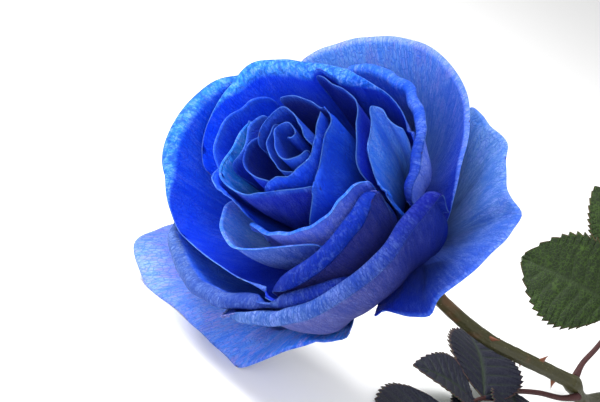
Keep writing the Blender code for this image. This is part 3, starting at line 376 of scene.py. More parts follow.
def refine(net, times):
    # The net with each cell split in both ways by straight lines.
    for axis in (0, 1):
        n = net.shape[axis]
        at = np.linspace(0, n - 1, (n - 1) * times + 1)
        low = np.clip(at.astype(int), 0, n - 2)
        shape = [1, 1, 1]
        shape[axis] = -1
        f = (at - low).reshape(shape)
        net = (1 - f) * np.take(net, low, axis=axis) + f * np.take(net, low + 1, axis=axis)
    return net


def spread(grid, wrap):
    # The largest value of each cell and its neighbours. With wrap, opposite edges are neighbours.
    for axis in (0, 1):
        before, after = np.roll(grid, 1, axis=axis), np.roll(grid, -1, axis=axis)
        if not wrap:
            first, last = [slice(None)] * 2, [slice(None)] * 2
            first[axis], last[axis] = 0, -1
            before[tuple(first)] = grid[tuple(first)]
            after[tuple(last)] = grid[tuple(last)]
        grid = np.maximum(grid, np.maximum(before, after))
    return grid


def soften(grid):
    # Each value averaged with its four neighbours.
    p = np.pad(grid, 1, mode="edge")
    return (4 * grid + p[:-2, 1:-1] + p[2:, 1:-1] + p[1:-1, :-2] + p[1:-1, 2:]) / 8


def netNormals(net):
    # Cross product of the two directions of the grid.
    return unit(np.cross(np.gradient(net, axis=0), np.gradient(net, axis=1)))


def settle(net, covered):
    # The net moved outwards along the fan wherever an inner petal would touch it. The push is the missing
    # room, spread to the cells around, less so near the rim, and it fades out at the claw.
    f = fanOut
    lost, low, high = f["loose"]
    rise = np.linspace(0.0, 1.0, net.shape[1])
    loose = 1.0 - lost * np.clip((rise - low) / (high - low), 0.0, 1.0)
    for _ in range(f["rounds"]):
        azimuth, tilt, reach = fanPlace(net)
        radius = np.hypot(net[..., 0], net[..., 1])
        a = np.radians(azimuth)
        away = (radius - f["radius"]) / reach
        ray = np.stack([away * np.cos(a), away * np.sin(a), (net[..., 2] - f["h"]) / reach], axis=-1)
        facing = np.abs(np.sum(ray * netNormals(net), axis=-1))
        room = (petalGrid["thickness"] + petalGrid["clearance"]) / np.clip(facing, f["leastFacing"], 1.0)
        limit = covered[fanCell(azimuth, tilt)]
        push = np.where(limit > 0, np.maximum(limit + room - reach, 0.0), 0.0)
        push[:, 0] = 0.0
        wide = spread(spread(push, False), False)
        for _ in range(f["softer"]):
            wide = soften(wide)
        push = np.maximum(wide * loose, soften(push))
        push[:, :f["clawRows"]] *= np.linspace(0, 1, f["clawRows"])
        net = net + push[..., None] * ray
    return net


def placeBloom(net):
    # From the bloom's frame to the lying one: its axis rises by the tilt towards -x.
    tilt, sky = math.radians(lying["tilt"]), math.radians(lying["sky"])
    upward = np.array([math.sin(tilt), 0.0, math.cos(tilt)])
    side = np.array([0.0, 1.0, 0.0])
    axis = np.array([-math.cos(tilt), 0.0, math.sin(tilt)])
    first = math.cos(sky) * upward - math.sin(sky) * side
    second = math.sin(sky) * upward + math.cos(sky) * side
    turned = net[..., :1] * first + net[..., 1:2] * second + net[..., 2:3] * axis
    return turned + (0.0, 0.0, lying["height"])


def gridFaces(columns, rows, offset=0, flip=False):
    # Quads between neighbouring columns and rows of a grid of points.
    i = np.arange(columns * rows).reshape(columns, rows) + offset
    quads = np.stack([i[:-1, :-1], i[1:, :-1], i[1:, 1:], i[:-1, 1:]], axis=-1).reshape(-1, 4)
    return quads[:, ::-1] if flip else quads


def bladeFaces(columns, rows):
    # Face, back and edge of a closed blade of two layers of points.
    n = columns * rows
    i = np.arange(n).reshape(columns, rows)
    ring = np.concatenate([i[:, 0], i[-1, 1:], i[-2::-1, -1], i[0, -2:0:-1]])
    after = np.roll(ring, -1)
    edge = np.stack([ring, ring + n, after + n, after], axis=-1)
    return np.concatenate([gridFaces(columns, rows), gridFaces(columns, rows, n, True), edge])


def makePiece(name, points, faces, fields, material, nodes):
    # A mesh from points in millimetres of the lying frame, with one vector attribute for each field.
    points = (np.asarray(points, float) + (*lying["shift"], 0.0)) * mm
    points[:, 2] = np.maximum(points[:, 2], 0.0)
    mesh = bpy.data.meshes.new(name)
    mesh.from_pydata(points.tolist(), [], [face.tolist() for face in faces])
    for key, values in fields.items():
        attribute = mesh.attributes.new(key, "FLOAT_VECTOR", "POINT")
        attribute.data.foreach_set("vector", np.ascontiguousarray(values, np.float32).ravel())
    mesh.polygons.foreach_set("use_smooth", np.ones(len(mesh.polygons), bool))
    mesh.materials.append(material)
    piece = bpy.data.objects.new(name, mesh)
    bpy.context.scene.collection.objects.link(piece)
    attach(piece, "root")
    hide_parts(*nodes)


class Wire:
    # One output of a node in a material. Operators on it add Math nodes, and node adds any other.
    def __init__(self, tree, socket=None):
        self.tree = tree
        self.socket = socket

    def node(self, kind, settings=None, inputs=None, out=0):
        # A new node with its settings, its inputs from values or other wires, and one of its outputs.
        made = self.tree.nodes.new(kind)
        for key, value in (settings or {}).items():
            if key == "stops":
                ramp = made.color_ramp
                while len(ramp.elements) < len(value):
                    ramp.elements.new(0.5)
                for element, (position, colour) in zip(ramp.elements, value):
                    element.position = position
                    element.color = (*colour, 1.0)
            else:
                setattr(made, key, value)
        for key, value in (inputs or {}).items():
            if isinstance(value, Wire):
                self.tree.links.new(value.socket, made.inputs[key])
            else:
                made.inputs[key].default_value = value
        return Wire(self.tree, made.outputs[out])

    def math(self, operation, a, b):
        return self.node("ShaderNodeMath", {"operation": operation}, {0: a, 1: b})

    def __add__(self, other):
        return self.math("ADD", self, other)

    def __radd__(self, other):
        return self.math("ADD", other, self)

    def __sub__(self, other):
        return self.math("SUBTRACT", self, other)

    def __rsub__(self, other):
        return self.math("SUBTRACT", other, self)

    def __mul__(self, other):
        return self.math("MULTIPLY", self, other)

    def __rmul__(self, other):
        return self.math("MULTIPLY", other, self)

    def smooth(self, low, high):
        # 0 below low and 1 above high, eased between them.
        eased = {"interpolation_type": "SMOOTHSTEP"}
        return self.node("ShaderNodeMapRange", eased, {0: self, 1: low, 2: high})

    def field(self, name):
        # The three parts of a vector attribute, and the vector.
        vector = self.node("ShaderNodeAttribute", {"attribute_name": name}, {}, "Vector")
        parts = [self.node("ShaderNodeSeparateXYZ", {}, {0: vector}, k) for k in range(3)]
        return (*parts, vector)

    def shaded(self, share):
        # A colour times a share of its red, green and blue.
        return self.node("ShaderNodeVectorMath", {"operation": "MULTIPLY"}, {0: self, 1: share})

    def stretched(self, vector, scale):
        # Each part of a vector times its scale.
        return self.node("ShaderNodeMapping", {}, {"Vector": vector, "Scale": scale})

    def noise(self, vector, scale, detail=3.0, roughness=0.5, distortion=0.0):
        # Soft noise with this many waves per unit in each direction.
        return self.node("ShaderNodeTexNoise", {}, {"Vector": self.stretched(vector, scale), "Scale": 1.0,
                         "Detail": detail, "Roughness": roughness, "Distortion": distortion})

    def walls(self, vector, scale):
        # Distance to the nearest wall in a mosaic of cells.
        return self.node("ShaderNodeTexVoronoi", {"feature": "DISTANCE_TO_EDGE"},
                         {"Vector": self.stretched(vector, scale), "Scale": 1.0})

    def ramp(self, value, stops):
        # The colour at a value between stops of (place, colour).
        return self.node("ShaderNodeValToRGB", {"stops": stops}, {0: value})

    def coats(self, colour, coats):
        # Each coat's colour laid over the ones before it by its share. The mixing node's inputs 6 and 7
        # and its output 2 are colours.
        for share, tint in coats:
            tint = (*tint, 1.0) if isinstance(tint, tuple) else tint
            colour = self.node("ShaderNodeMix", {"data_type": "RGBA"}, {0: share, 6: colour, 7: tint}, 2)
        return colour


def newMaterial(name, fixed):
    # A material whose constant values go straight to the shader's own sockets.
    material = bpy.data.materials.new(name)
    material.use_nodes = True
    tree = material.node_tree
    shader = tree.nodes["Principled BSDF"]
    for key, value in fixed.items():
        shader.inputs[key].default_value = value
    return material, Wire(tree), shader


def finishMaterial(shader, colour, roughness, height, relief):
    # Colour and roughness led to the shader, and bumps from a height by their strength and their depth
    # in metres.
    inputs = {"Strength": relief[0], "Distance": relief[1], "Height": height}
    normal = height.node("ShaderNodeBump", {}, inputs)
    for key, wire in (("Base Color", colour), ("Roughness", roughness), ("Normal", normal)):
        wire.tree.links.new(wire.socket, shader.inputs[key])


# clawShade: painted shade in the cavity, which each face darkens to towards the claw. dull: a face whose
# green is under the first value shows less of the pale marks, but at least the second.
petalTints = dict(
    clawShade=(0.008, 0.008, 0.09), dark=(0.003, 0.016, 0.24), pale=(0.24, 0.42, 0.92),
    # rimHighlight: painted highlight, a thin light line along the rim.
    violet=(0.07, 0.03, 0.42), lavender=(0.32, 0.30, 0.84), shade=(0.28, 0.50, 0.92),
    rimHighlight=(0.16, 0.38, 0.90), brown=(0.05, 0.03, 0.05), relief=(0.9, 0.0005), dull=(0.2, 0.12))


def petalMaterial(name):
    # Each face has its colour from hue, which holds painted light and shade. Pale streaks and veins
    # run along it, violet clouds lie over it, dark blotches and fine cross lines cover the rolled band, and
    # a thin painted highlight follows the rim.
    c = petalTints
    material, w, shader = newMaterial(name, {
        "Sheen Weight": 0.02, "Sheen Roughness": 0.4, "Sheen Tint": (0.20, 0.45, 1.0, 1.0),
        "Specular IOR Level": 0.05})
    # The face's colour, with its painted light and shade.
    colour = w.field("hue")[3]
    deeper = colour.shaded(c["shade"])
    rise, rim, band, _ = w.field("place")
    veil, violet, lines, _ = w.field("look")
    blotch = w.field("blotch")[0]
    grain = w.field("grain")[3]

    streak = w.noise(grain, (0.75, 0.11, 1.0), 4.0, 0.6, 0.5)
    fine = w.noise(grain, (3.2, 0.35, 1.0), 3.0, 0.6, 0.3)
    cloud = w.noise(grain, (0.12, 0.09, 1.0), 3.0, 0.5, 0.4)
    mottle = w.noise(grain, (0.42, 0.42, 1.0), 5.0, 0.65, 0.6)
    speck = w.noise(grain, (2.6, 1.1, 1.0), 3.0, 0.6)
    veins = 1 - w.walls(grain, (1.1, 0.42, 1.0)).smooth(0.0, 0.10)
    mesh = 1 - w.walls(grain, (2.3, 1.3, 1.0)).smooth(0.0, 0.22)

    grown = rise.smooth(0.2, 0.95)
    light = veil * grown
    # Painted highlight: a thin light line along the rim, in patches.
    edge = (1 - rim.smooth(0.03, 0.20)) * (0.15 + 0.85 * cloud.smooth(0.38, 0.60))
    bruise = (1 - rim.smooth(0.1, 0.7)) * w.noise(grain, (0.35, 0.2, 1.0), 2.0).smooth(0.62, 0.70)
    colour = w.coats(colour, [
        ((streak + 0.6 * fine).smooth(0.76, 1.00) * light * 0.85, c["pale"]),
        ((1 - streak.smooth(0.32, 0.52)) * 0.60, deeper),
        ((1 - cloud.smooth(0.38, 0.58)) * 0.55 * grown, deeper),
        (cloud.smooth(0.48, 0.70) * light * 0.35, c["pale"]),
        (mesh * fine.smooth(0.35, 0.60) * 0.80 * grown, deeper),
        ((cloud * 0.7 + streak * 0.3).smooth(0.50, 0.64) * violet * 0.45, c["violet"]),
        ((fine + streak).smooth(0.98, 1.20) * violet * light * 0.9, c["lavender"]),
        (mottle.smooth(0.48, 0.60) * blotch * band * 0.80, c["dark"]),
        ((1 - mottle.smooth(0.38, 0.50)) * blotch * band * 0.45, c["pale"]),
        (fine.smooth(0.52, 0.72) * lines * band * 0.45, c["pale"]),
        (speck.smooth(0.56, 0.68) * lines * band * 0.5, c["dark"]),
        (veins * 0.75 * grown, deeper),
        # Painted highlight along the rim.
        (edge * 0.45, c["rimHighlight"]),
        (bruise * 0.8, c["brown"]),
    ])
    height = fine * 0.6 + mottle * (0.4 + 0.9 * band * blotch) - veins * 0.3
    finishMaterial(shader, colour, 0.5 + 0.25 * mottle, height, c["relief"])
    return material


def blend(ends, share):
    # From the first colour to the last.
    a, b = np.array(ends[0]), np.array(ends[-1])
    return a + (b - a) * share[..., None]


def petalHueAndShade(spec, across, rise, curl, outside):
    # The face's colour, which changes from one end of the rim to the other, partly as painted light and
    # shade, and darkens to painted shade towards the claw.
    # It turns into the band's colour where the inner face rolls over, or else in a margin along the rim.
    share = (across + 1) / 2
    share = share**2 * (3 - 2 * share)
    hue = blend(spec["outer"] if outside else spec["inner"], share)
    band = np.clip((curl - 0.12) / 0.5, 0.0, 1.0) * (0.0 if outside else 1.0)
    if "roll" not in spec:
        band = np.clip((rise - 0.93) / 0.07, 0.0, 1.0) * 0.6
    hue = hue + (blend(spec["lip"], share) - hue) * band[..., None]
    # Painted shade: towards the claw the colour is mixed with clawShade, the shade of the cavity.
    grown = np.clip((rise - 0.1) / (0.65 if outside else 0.75), 0.0, 1.0)[..., None]
    grown = 0.25 + 0.75 * grown**1.3
    return np.array(petalTints["clawShade"]) * (1 - grown) + hue * grown, band


def petalPieces():
    # Each petal in turn from the heart: laid out, pushed clear of those inside it, and closed into a
    # blade of even thickness, with the fields that its material reads at each point of both faces.
    covered = np.zeros((fanOut["around"], fanOut["tilts"]))
    slots = ("petal_heart", "petal", "petal_outer")
    skins = {slot: petalMaterial(slot.replace("_", " ")) for slot in slots}
    g = petalGrid
    green, least = petalTints["dull"]
    for order, (name, spec) in enumerate(petals.items()):
        net, curl = petalSheet(order, spec)
        net = settle(net, covered)
        azimuth, tilt, reach = fanPlace(refine(net, 3))
        layer = np.zeros_like(covered)
        np.maximum.at(layer, fanCell(azimuth, tilt), reach)
        covered = np.maximum(covered, spread(layer, True))

        net = placeBloom(net)
        net[..., 2] = np.maximum(net[..., 2], g["thickness"] / 2)
        normal = netNormals(net) * g["thickness"] / 2
        columns, rows = net.shape[:2]
        along = np.pad(np.cumsum(np.linalg.norm(np.diff(net, axis=1), axis=-1), axis=1), ((0, 0), (1, 0)))
        wide = np.pad(np.cumsum(np.linalg.norm(np.diff(net, axis=0), axis=-1), axis=0), ((1, 0), (0, 0)))
        rimDistance = np.minimum(along[:, -1:] - along, np.minimum(wide, wide[-1:] - wide))
        across = np.linspace(-1.0, 1.0, columns)[:, None] * np.ones(rows)
        half = wide[-1, g["bodyRows"] - 1] / 2
        rise = along / along[:, -1:]
        fields = {"hue": [], "grain": [], "place": [], "look": [], "blotch": []}
        for face in (0, 1):  # the outer face comes first
            hue, band = petalHueAndShade(spec, across, rise, curl, face == 0)
            light = np.clip(hue[..., 1:2] / green, least, 1.0)
            own = np.full(rise.shape, order * g["apart"][0] + face * g["apart"][1])
            fields["hue"].append(hue)
            fields["grain"].append(np.stack([across * half, along, own], axis=-1))
            fields["place"].append(np.stack([rise, rimDistance, band], axis=-1))
            fields["look"].append(light * (spec["veil"], spec["violet"], spec["lines"]))
            fields["blotch"].append(np.full(net.shape, spec["blotch"]))
        fields = {key: np.concatenate([v.reshape(-1, 3) for v in value]) for key, value in fields.items()}
        points = np.concatenate([(net + normal).reshape(-1, 3), (net - normal).reshape(-1, 3)])
        slot = max((slot for slot in slots if name.startswith(slot)), key=len)
        makePiece(name + "_fine", points, bladeFaces(columns, rows), fields, skins[slot], [name])
    print("petals made:", len(petals))


petalPieces()


# Green parts in the lying frame. The stem's path, its radii from neck to cut end, the path point at its
# node, and its prickles as (place along, angle round, length). ringBand: height, distance from the node
# and width of two lines that are raised on one side and sunk on the other. prickleBase: half length
# and half width of a full prickle's foot. cutFrom: where the pale cut end starts.
stemShape = dict(
    path=[(18.85, 0.0, 44.95), (31.0, -1.6, 40.0), (45.0, -4.0, 34.2), (70.0, -6.6, 26.6),
          (98.0, -6.0, 21.0), (120.0, -5.4, 17.2), (137.0, -4.6, 13.6), (147.0, -2.6, 8.6),
          (160.0, 1.6, 4.2), (176.0, 7.0, 2.75), (196.0, 13.0, 2.75)],
    rings=420, sides=64, radii=(2.3, 2.7), node=6, swell=0.9, nodeLength=5.0, ringBand=(0.16, 4.2, 0.7),
    prickles=[(0.30, 60.0, 3.4), (0.37, -70.0, 3.2), (0.50, 10.0, 3.4), (0.58, 165.0, 3.4),
              (0.76, 100.0, 3.4), (0.90, 30.0, 3.4), (0.44, 150.0, 1.6), (0.66, -40.0, 1.8)],
    prickleGrid=(26, 24), prickleBase=(2.2, 1.0), fullPrickle=3.4, sunk=0.7, hook=1.1,
    grooves=7, grooveDepth=0.10, wart=0.07, warts=14, wartSeed=41, cutFrom=0.9965)

# Each leaf: axis, then its leaflets as base, tip, width, facing, arch and place of the widest part.
leafShapes = {
    "leaf_low": dict(
        axis=[(138.6, -8.65, 11.05), (131, -8.2, 9.2), (119, -5.6, 8.2), (104, -5.4, 6.8), (87, -9.4, 5.2),
              (70, -14.6, 3.6), (58, -18.4, 2.4)],
        leaflets=[
            dict(base=(84, -10.6, 4.9), tip=(100, 22, 13), width=34, face=(-0.1, -0.35, 1), arch=3.0),
            dict(base=(104, -5.4, 6.8), tip=(84, -37, 0.2), width=26, face=(0.0, -0.1, 1), arch=0.6),
            dict(base=(77, -12.4, 4.2), tip=(52, -1, 8), width=26, face=(0.0, -0.2, 1), arch=2.0),
            dict(base=(79, -11.8, 4.4), tip=(55, -44, 0.2), width=27, face=(0.0, -0.1, 1), arch=0.4),
            dict(base=(58.6, -18.2, 2.5), tip=(18, -27, -1.2), width=31, face=(0, 0, 1), arch=-0.6),
        ], dark=0.9),
    "leaf_high": dict(
        axis=[(139.8, -2.0, 15.55), (143, 0.6, 20), (149, 3, 26), (160, 9, 37), (168, 17, 47),
              (173, 26, 58)],
        leaflets=[
            dict(base=(163, 12, 41), tip=(130, 41, 40), width=39, face=(-0.55, -0.7, 0.35), arch=4.0,
                 skew=1.15),
            dict(base=(163, 12, 41), tip=(197, -10, 44), width=29, face=(-0.45, -0.6, 0.6), arch=4.0),
            dict(base=(171, 22, 53), tip=(162, 52, 73), width=26, face=(-0.6, -0.6, 0.5), arch=4.0),
            dict(base=(171, 22, 53), tip=(205, 6, 62), width=29, face=(-0.4, -0.7, 0.6), arch=4.0),
            dict(base=(173, 26, 57.4), tip=(190, 52, 92), width=32, face=(-0.75, -0.4, 0.5), arch=5.0),
        ], dark=0.35),
}

# The leaflets' grid and relief, and the stalk's radii and grid. Depths are in millimetres, the fold and
# the teeth in shares of the half width, and veinSlope is how far side veins run ahead.
leafGrid = dict(stations=141, across=41, thickness=0.42, skew=0.8, blunt=0.75, fold=0.16, teeth=17,
                tooth=0.060, veins=8, veinDepth=0.30, veinSlope=0.32, pillow=0.35, furrow=0.30,
                radii=(1.15, 0.7), rings=120, sides=20, grainLength=60)

# The hip's profile as (radius, height) with faint ribs under ribTop. The sepals' first azimuth, foot as
# (radius, height), and slope at foot and tip.
hipShape = dict(
    profile=[(0.0, -20.0), (2.3, -20.0), (2.5, -18.6), (4.4, -16.4), (6.6, -13.0), (7.4, -10.0),
             (7.0, -7.4), (7.4, -5.8), (9.0, -4.6), (9.2, -3.7), (8.8, -3.0), (1.5, 13.0), (0.0, 13.8)],
    rows=150, sides=96, ribs=5, rib=0.10, ribRadius=7.0, ribTop=-4.0)
sepalShape = dict(count=5, length=18.0, width=7.5, first=48.0, foot=(9.05, -5.2), turn=(-24.0, -88.0),
                  trough=0.22, thickness=0.5, stations=61, across=21)


def framesAlong(path):
    # Tangent, side and upward directions square to a path.
    tangent = unit(np.gradient(path, axis=0))
    side = unit(np.cross(tangent, (0.0, 0.0, 1.0)))
    return tangent, side, np.cross(side, tangent)


def tubeNet(path, radii, sides):
    # Rings of points round a path; radii is one value for each ring, or one for each point.
    _, side, up = framesAlong(path)
    turn = turns(sides)[None, :, None]
    spokes = np.cos(turn) * side[:, None] + np.sin(turn) * up[:, None]
    return path[:, None] + radii[..., None] * spokes


def tubeFaces(rings, sides, offset=0):
    # Quads round a tube, and a fan of triangles at each end to the last two points.
    i = np.arange(rings * sides).reshape(rings, sides) + offset
    j = np.roll(i, -1, axis=1)
    wall = np.stack([i[:-1], i[1:], j[1:], j[:-1]], axis=-1).reshape(-1, 4)
    start, end = offset + rings * sides, offset + rings * sides + 1
    first = np.stack([np.full(sides, start), i[0], j[0]], axis=-1)
    last = np.stack([np.full(sides, end), j[-1], i[-1]], axis=-1)
    return [*wall, *first, *last]


def stemPiece():
    # A tube with shallow grooves and fine warts, a swelling at the node, and hooked prickles set on it.
    s = stemShape
    path = smoothCurve(s["path"], s["rings"])
    along = np.linspace(0, 1, s["rings"])
    turn = turns(s["sides"])
    radii = s["radii"][0] + (s["radii"][1] - s["radii"][0]) * along
    distance = np.linalg.norm(path - np.array(s["path"][s["node"]]), axis=1)
    radii = radii + s["swell"] * np.exp(-(distance / s["nodeLength"])**2)
    draw = np.random.default_rng(s["wartSeed"])
    k = draw.integers(2, 9, (s["warts"], 2))
    phase = draw.uniform(0, 2 * math.pi, s["warts"])
    warts = sum(np.sin(a * 22 * along[:, None] + b * turn + f) for (a, b), f in zip(k, phase)) / s["warts"]
    groove = np.cos(s["grooves"] * turn + 3 * np.sin(9 * along[:, None]))
    high, off, wide = s["ringBand"]
    band = high * np.exp(-((distance - off) / wide)**2)[:, None]
    skin = radii[:, None] - s["grooveDepth"] * groove + 3 * s["wart"] * warts + band * np.cos(turn)
    net = tubeNet(path, skin, s["sides"])
    points = [net.reshape(-1, 3), path[:1], path[-1:]]
    faces = tubeFaces(s["rings"], s["sides"])
    last = np.clip((along - s["cutFrom"]) / (1 - s["cutFrom"]), 0, 1)
    cut = [np.append(np.repeat(last, s["sides"]), [0.0, 1.0])]
    count = len(cut[0])
    spine = [np.zeros(count)]
    _, side, up = framesAlong(path)
    rings, sides = s["prickleGrid"]
    t = np.linspace(0.0, 1.0, rings)
    size = np.maximum((1 - t)**1.5, 0.012)
    ring = turns(sides)[None, :, None]
    share = np.concatenate([np.repeat(t, sides), [0.0, 1.0]])
    for place, angle, length in s["prickles"]:
        i = int(round(place * (s["rings"] - 1)))
        a = math.radians(angle)
        out = math.cos(a) * up[i] + math.sin(a) * side[i]
        ahead = unit(path[i] - path[i + 1])
        reach = (radii[i] - s["sunk"] + (length + s["sunk"]) * t)[:, None]
        middle = path[i] + out * reach - ahead * (s["hook"] * t**2)[:, None]
        across = np.cross(ahead, out)
        wide, thin = (half * length / s["fullPrickle"] * size[:, None, None] for half in s["prickleBase"])
        cone = middle[:, None] + np.cos(ring) * ahead * wide + np.sin(ring) * across * thin
        points += [cone.reshape(-1, 3), middle[:1], middle[-1:]]
        faces += [face[::-1] for face in tubeFaces(rings, sides, count)]
        cut.append(0 * share)
        spine.append(0.25 + 0.75 * share)
        count += len(share)
    cut, spine = np.concatenate(cut), np.concatenate(spine)
    fields = {"marks": np.stack([cut, spine, 0 * cut], axis=-1)}
    makePiece("stem_fine", np.concatenate(points), faces, fields, stemMaterial(), ["stem"])


def leafletNet(spec, k):
    # A blade from base to tip: half width is a power of a sine with saw teeth, folded along the rib,
    # lowered along the side veins and swollen between them, with slow waves towards the edge.
    g = leafGrid
    base, tip = np.array(spec["base"], float), np.array(spec["tip"], float)
    along = unit(tip - base)
    face = np.array(spec["face"], float)
    face = unit(face - face @ along * along)
    sideways = np.cross(face, along)
    t = np.linspace(0.0, 1.0, g["stations"])
    u = np.linspace(-1.0, 1.0, g["across"])
    body = np.sin(math.pi * t**spec.get("skew", g["skew"]))**g["blunt"]
    saw = (g["teeth"] * (t**0.9) + 0.3 * np.sin(9 * t + k)) % 1.0
    tooth = 1 - g["tooth"] * 1.5 + g["tooth"] * 2.2 * saw * (1 - 0.4 * t)
    half = np.maximum(spec["width"] / 2 * body * tooth, 0.25)
    smooth = np.maximum(spec["width"] / 2 * body, 0.3)
    rib = base + t[:, None] * (tip - base) + (spec["arch"] * np.sin(math.pi * t))[:, None] * face
    ahead = (0.10 * spec["width"] * (saw - 0.5) * 0.25)[None] * np.abs(u[:, None])**6
    net = rib[None] + (u[:, None] * half[None])[..., None] * sideways + ahead[..., None] * along
    length = np.linalg.norm(tip - base)
    off = np.abs(u)[:, None]
    vein = (t[None] - g["veinSlope"] * off * smooth.max() / length) * g["veins"] + 0.25
    valley = np.exp(-((vein % 1.0 - 0.5) / 0.11)**2)
    pillow = np.sin(math.pi * (vein % 1.0 - 0.5)) ** 2
    near = np.clip(off * 4, 0, 1) * np.clip(1.15 - off, 0, 1)
    wave = 0.5 * np.sin(5.3 * t[None] + 2.1 * np.sign(u)[:, None] + k) * off**2
    lift = g["fold"] * (off * smooth) - g["veinDepth"] * valley * near + g["pillow"] * pillow * near
    lift = lift - g["furrow"] * np.exp(-(off / 0.05)**2) + wave * min(1.0, max(base[2], tip[2]) / 12)
    net = net + lift[..., None] * face
    net[..., 2] = np.maximum(net[..., 2], g["thickness"] / 2)
    same = np.ones(net.shape[:2])
    grain = np.stack([u[:, None] * half, same * (t * length), same * 11.0 * k], axis=-1)
    marks = np.stack([valley * near, same * np.exp(-(off / 0.06)**2), (1 - off) * half], axis=-1)
    return net, grain, marks


def leafPiece(name, spec):
    # A round stalk, thicker at its foot and flatter on top, and two layers of points for each leaflet.
    g = leafGrid
    rings, sides, dark = g["rings"], g["sides"], spec["dark"]
    path = smoothCurve(spec["axis"], rings)
    t = np.linspace(0, 1, rings)
    turn = turns(sides)
    radii = (g["radii"][0] + (g["radii"][1] - g["radii"][0]) * t)[:, None]
    radii = radii * (1 + 0.35 * np.exp(-(t / 0.06)**2))[:, None]
    radii = radii * (1 - 0.16 * np.exp(-((turn - math.pi / 2) / 0.5)**2))
    points = [tubeNet(path, radii, sides).reshape(-1, 3), path[:1], path[-1:]]
    faces = tubeFaces(rings, sides)
    count = rings * sides + 2
    around = np.append(np.tile(turn, rings), [0, 0])
    along = np.append(np.repeat(t, sides), [0, 1]) * g["grainLength"]
    grain = [np.stack([around, along, np.zeros(count)], axis=-1)]
    marks = [np.zeros((count, 3))]
    look = [np.tile([1.0, dark, 0.0], (count, 1))]
    for k, leaflet in enumerate(spec["leaflets"]):
        net, place, mark = leafletNet(leaflet, k)
        normal = netNormals(net) * g["thickness"] / 2
        columns, rows = net.shape[:2]
        for side, under in ((1.0, 1.0), (-1.0, 0.0)):
            points.append((net + side * normal).reshape(-1, 3))
            grain.append(place.reshape(-1, 3))
            marks.append(mark.reshape(-1, 3))
            look.append(np.tile([0.0, dark, under], (columns * rows, 1)))
        faces += [face + count for face in bladeFaces(columns, rows)]
        count += 2 * columns * rows
    fields = {"grain": np.concatenate(grain), "marks": np.concatenate(marks), "look": np.concatenate(look)}
    makePiece(name + "_fine", np.concatenate(points), faces, fields, leafMaterial(name), [name])


def hipPiece():
    # A turned body through the profile, with faint ribs below the shoulder.
    s = hipShape
    profile = smoothCurve([(r, h, 0.0) for r, h in s["profile"]], s["rows"])[:, :2]
    profile[:, 0] = np.maximum(profile[:, 0], 0.02)
    a = turns(s["sides"])
    height = np.repeat(profile[:, 1:], s["sides"], axis=1)
    rib = 1 - s["rib"] / s["ribRadius"] * np.cos(a * s["ribs"]) * (height < s["ribTop"])
    radius = profile[:, :1] * rib
    rings = np.stack([radius * np.cos(a), radius * np.sin(a), height], axis=-1)
    points = np.concatenate([rings.reshape(-1, 3), [(0, 0, profile[0, 1]), (0, 0, profile[-1, 1])]])
    faces = [face[::-1] for face in tubeFaces(s["rows"], s["sides"])]
    skin = greenMaterial("hip")
    makePiece("hip_fine", placeBloom(points), faces, {"grain": points}, skin, ["hip"])


def sepalPieces():
    # Long pointed blades that bend back from the shoulder along an arc, troughed across, with a sunken
    # rib. Every second one has two lobes, bell curves of its width.
    s = sepalShape
    skin = greenMaterial("sepal")
    t = np.linspace(0.0, 1.0, s["stations"])
    u = np.linspace(-1.0, 1.0, s["across"])
    turn = np.radians(s["turn"][0] + (s["turn"][1] - s["turn"][0]) * t)
    step = s["length"] / (s["stations"] - 1)
    out = s["foot"][0] + np.concatenate([[0], np.cumsum(step * np.cos(turn[:-1]))])
    h = s["foot"][1] + np.concatenate([[0], np.cumsum(step * np.sin(turn[:-1]))])
    taper = np.clip(1.15 * (1 - t)**0.8 * (0.75 + 1.1 * t), 0.06, 1.0)
    lobe = 0.22 * np.exp(-((t - 0.45) / 0.05)**2) + 0.18 * np.exp(-((t - 0.62) / 0.04)**2)
    rib = 0.25 * np.exp(-(u[:, None] / 0.12)**2) * (1 - t)
    up = np.array([0.0, 0.0, 1.0])
    for k in range(s["count"]):
        width = s["width"] / 2 * taper * (1 + lobe * (k % 2))
        azimuth = s["first"] + k * 360 / s["count"]
        outward, sideways = cylindrical(np.array([azimuth, azimuth + 90]), 1.0, 0.0)
        middle = out[:, None] * outward + h[:, None] * up
        normal = np.cos(turn)[:, None] * up - np.sin(turn)[:, None] * outward
        net = middle + (u[:, None] * width)[..., None] * sideways
        net = net + (s["trough"] * u[:, None]**2 * width - rib)[..., None] * normal
        skinNormal = netNormals(net) * s["thickness"] / 2
        points = np.concatenate([(net + skinNormal).reshape(-1, 3), (net - skinNormal).reshape(-1, 3)])
        same = np.ones(net.shape[:2])
        grain = np.stack([u[:, None] * width, same * (t * s["length"]), same * 5.0 * k], axis=-1)
        grain = grain.reshape(-1, 3)
        name = f"sepal_{k + 1}"
        faces = bladeFaces(*net.shape[:2])
        fields = {"grain": np.concatenate([grain, grain])}
        makePiece(name + "_fine", placeBloom(points), faces, fields, skin, [name])


greenTints = dict(
    stem=[(0.0, (0.006, 0.008, 0.003)), (0.45, (0.020, 0.021, 0.006)), (1.0, (0.075, 0.066, 0.022))],
    red=(0.16, 0.055, 0.030), cut=(0.36, 0.38, 0.20), lenticel=(0.26, 0.24, 0.13),
    low=[(0.0, (0.004, 0.004, 0.012)), (0.5, (0.009, 0.010, 0.024)), (1.0, (0.030, 0.040, 0.036))],
    high=[(0.0, (0.003, 0.006, 0.003)), (0.5, (0.010, 0.022, 0.004)), (1.0, (0.050, 0.105, 0.010))],
    vein=(0.030, 0.050, 0.018), under=(0.08, 0.11, 0.065),
    petiole=[(0.0, (0.020, 0.006, 0.008)), (1.0, (0.075, 0.025, 0.024))],
    hip=[(0.0, (0.040, 0.075, 0.022)), (1.0, (0.13, 0.19, 0.07))],
    stemRelief=(0.6, 0.00012), leafRelief=(0.8, 0.0002), hipRelief=(0.6, 0.00015))


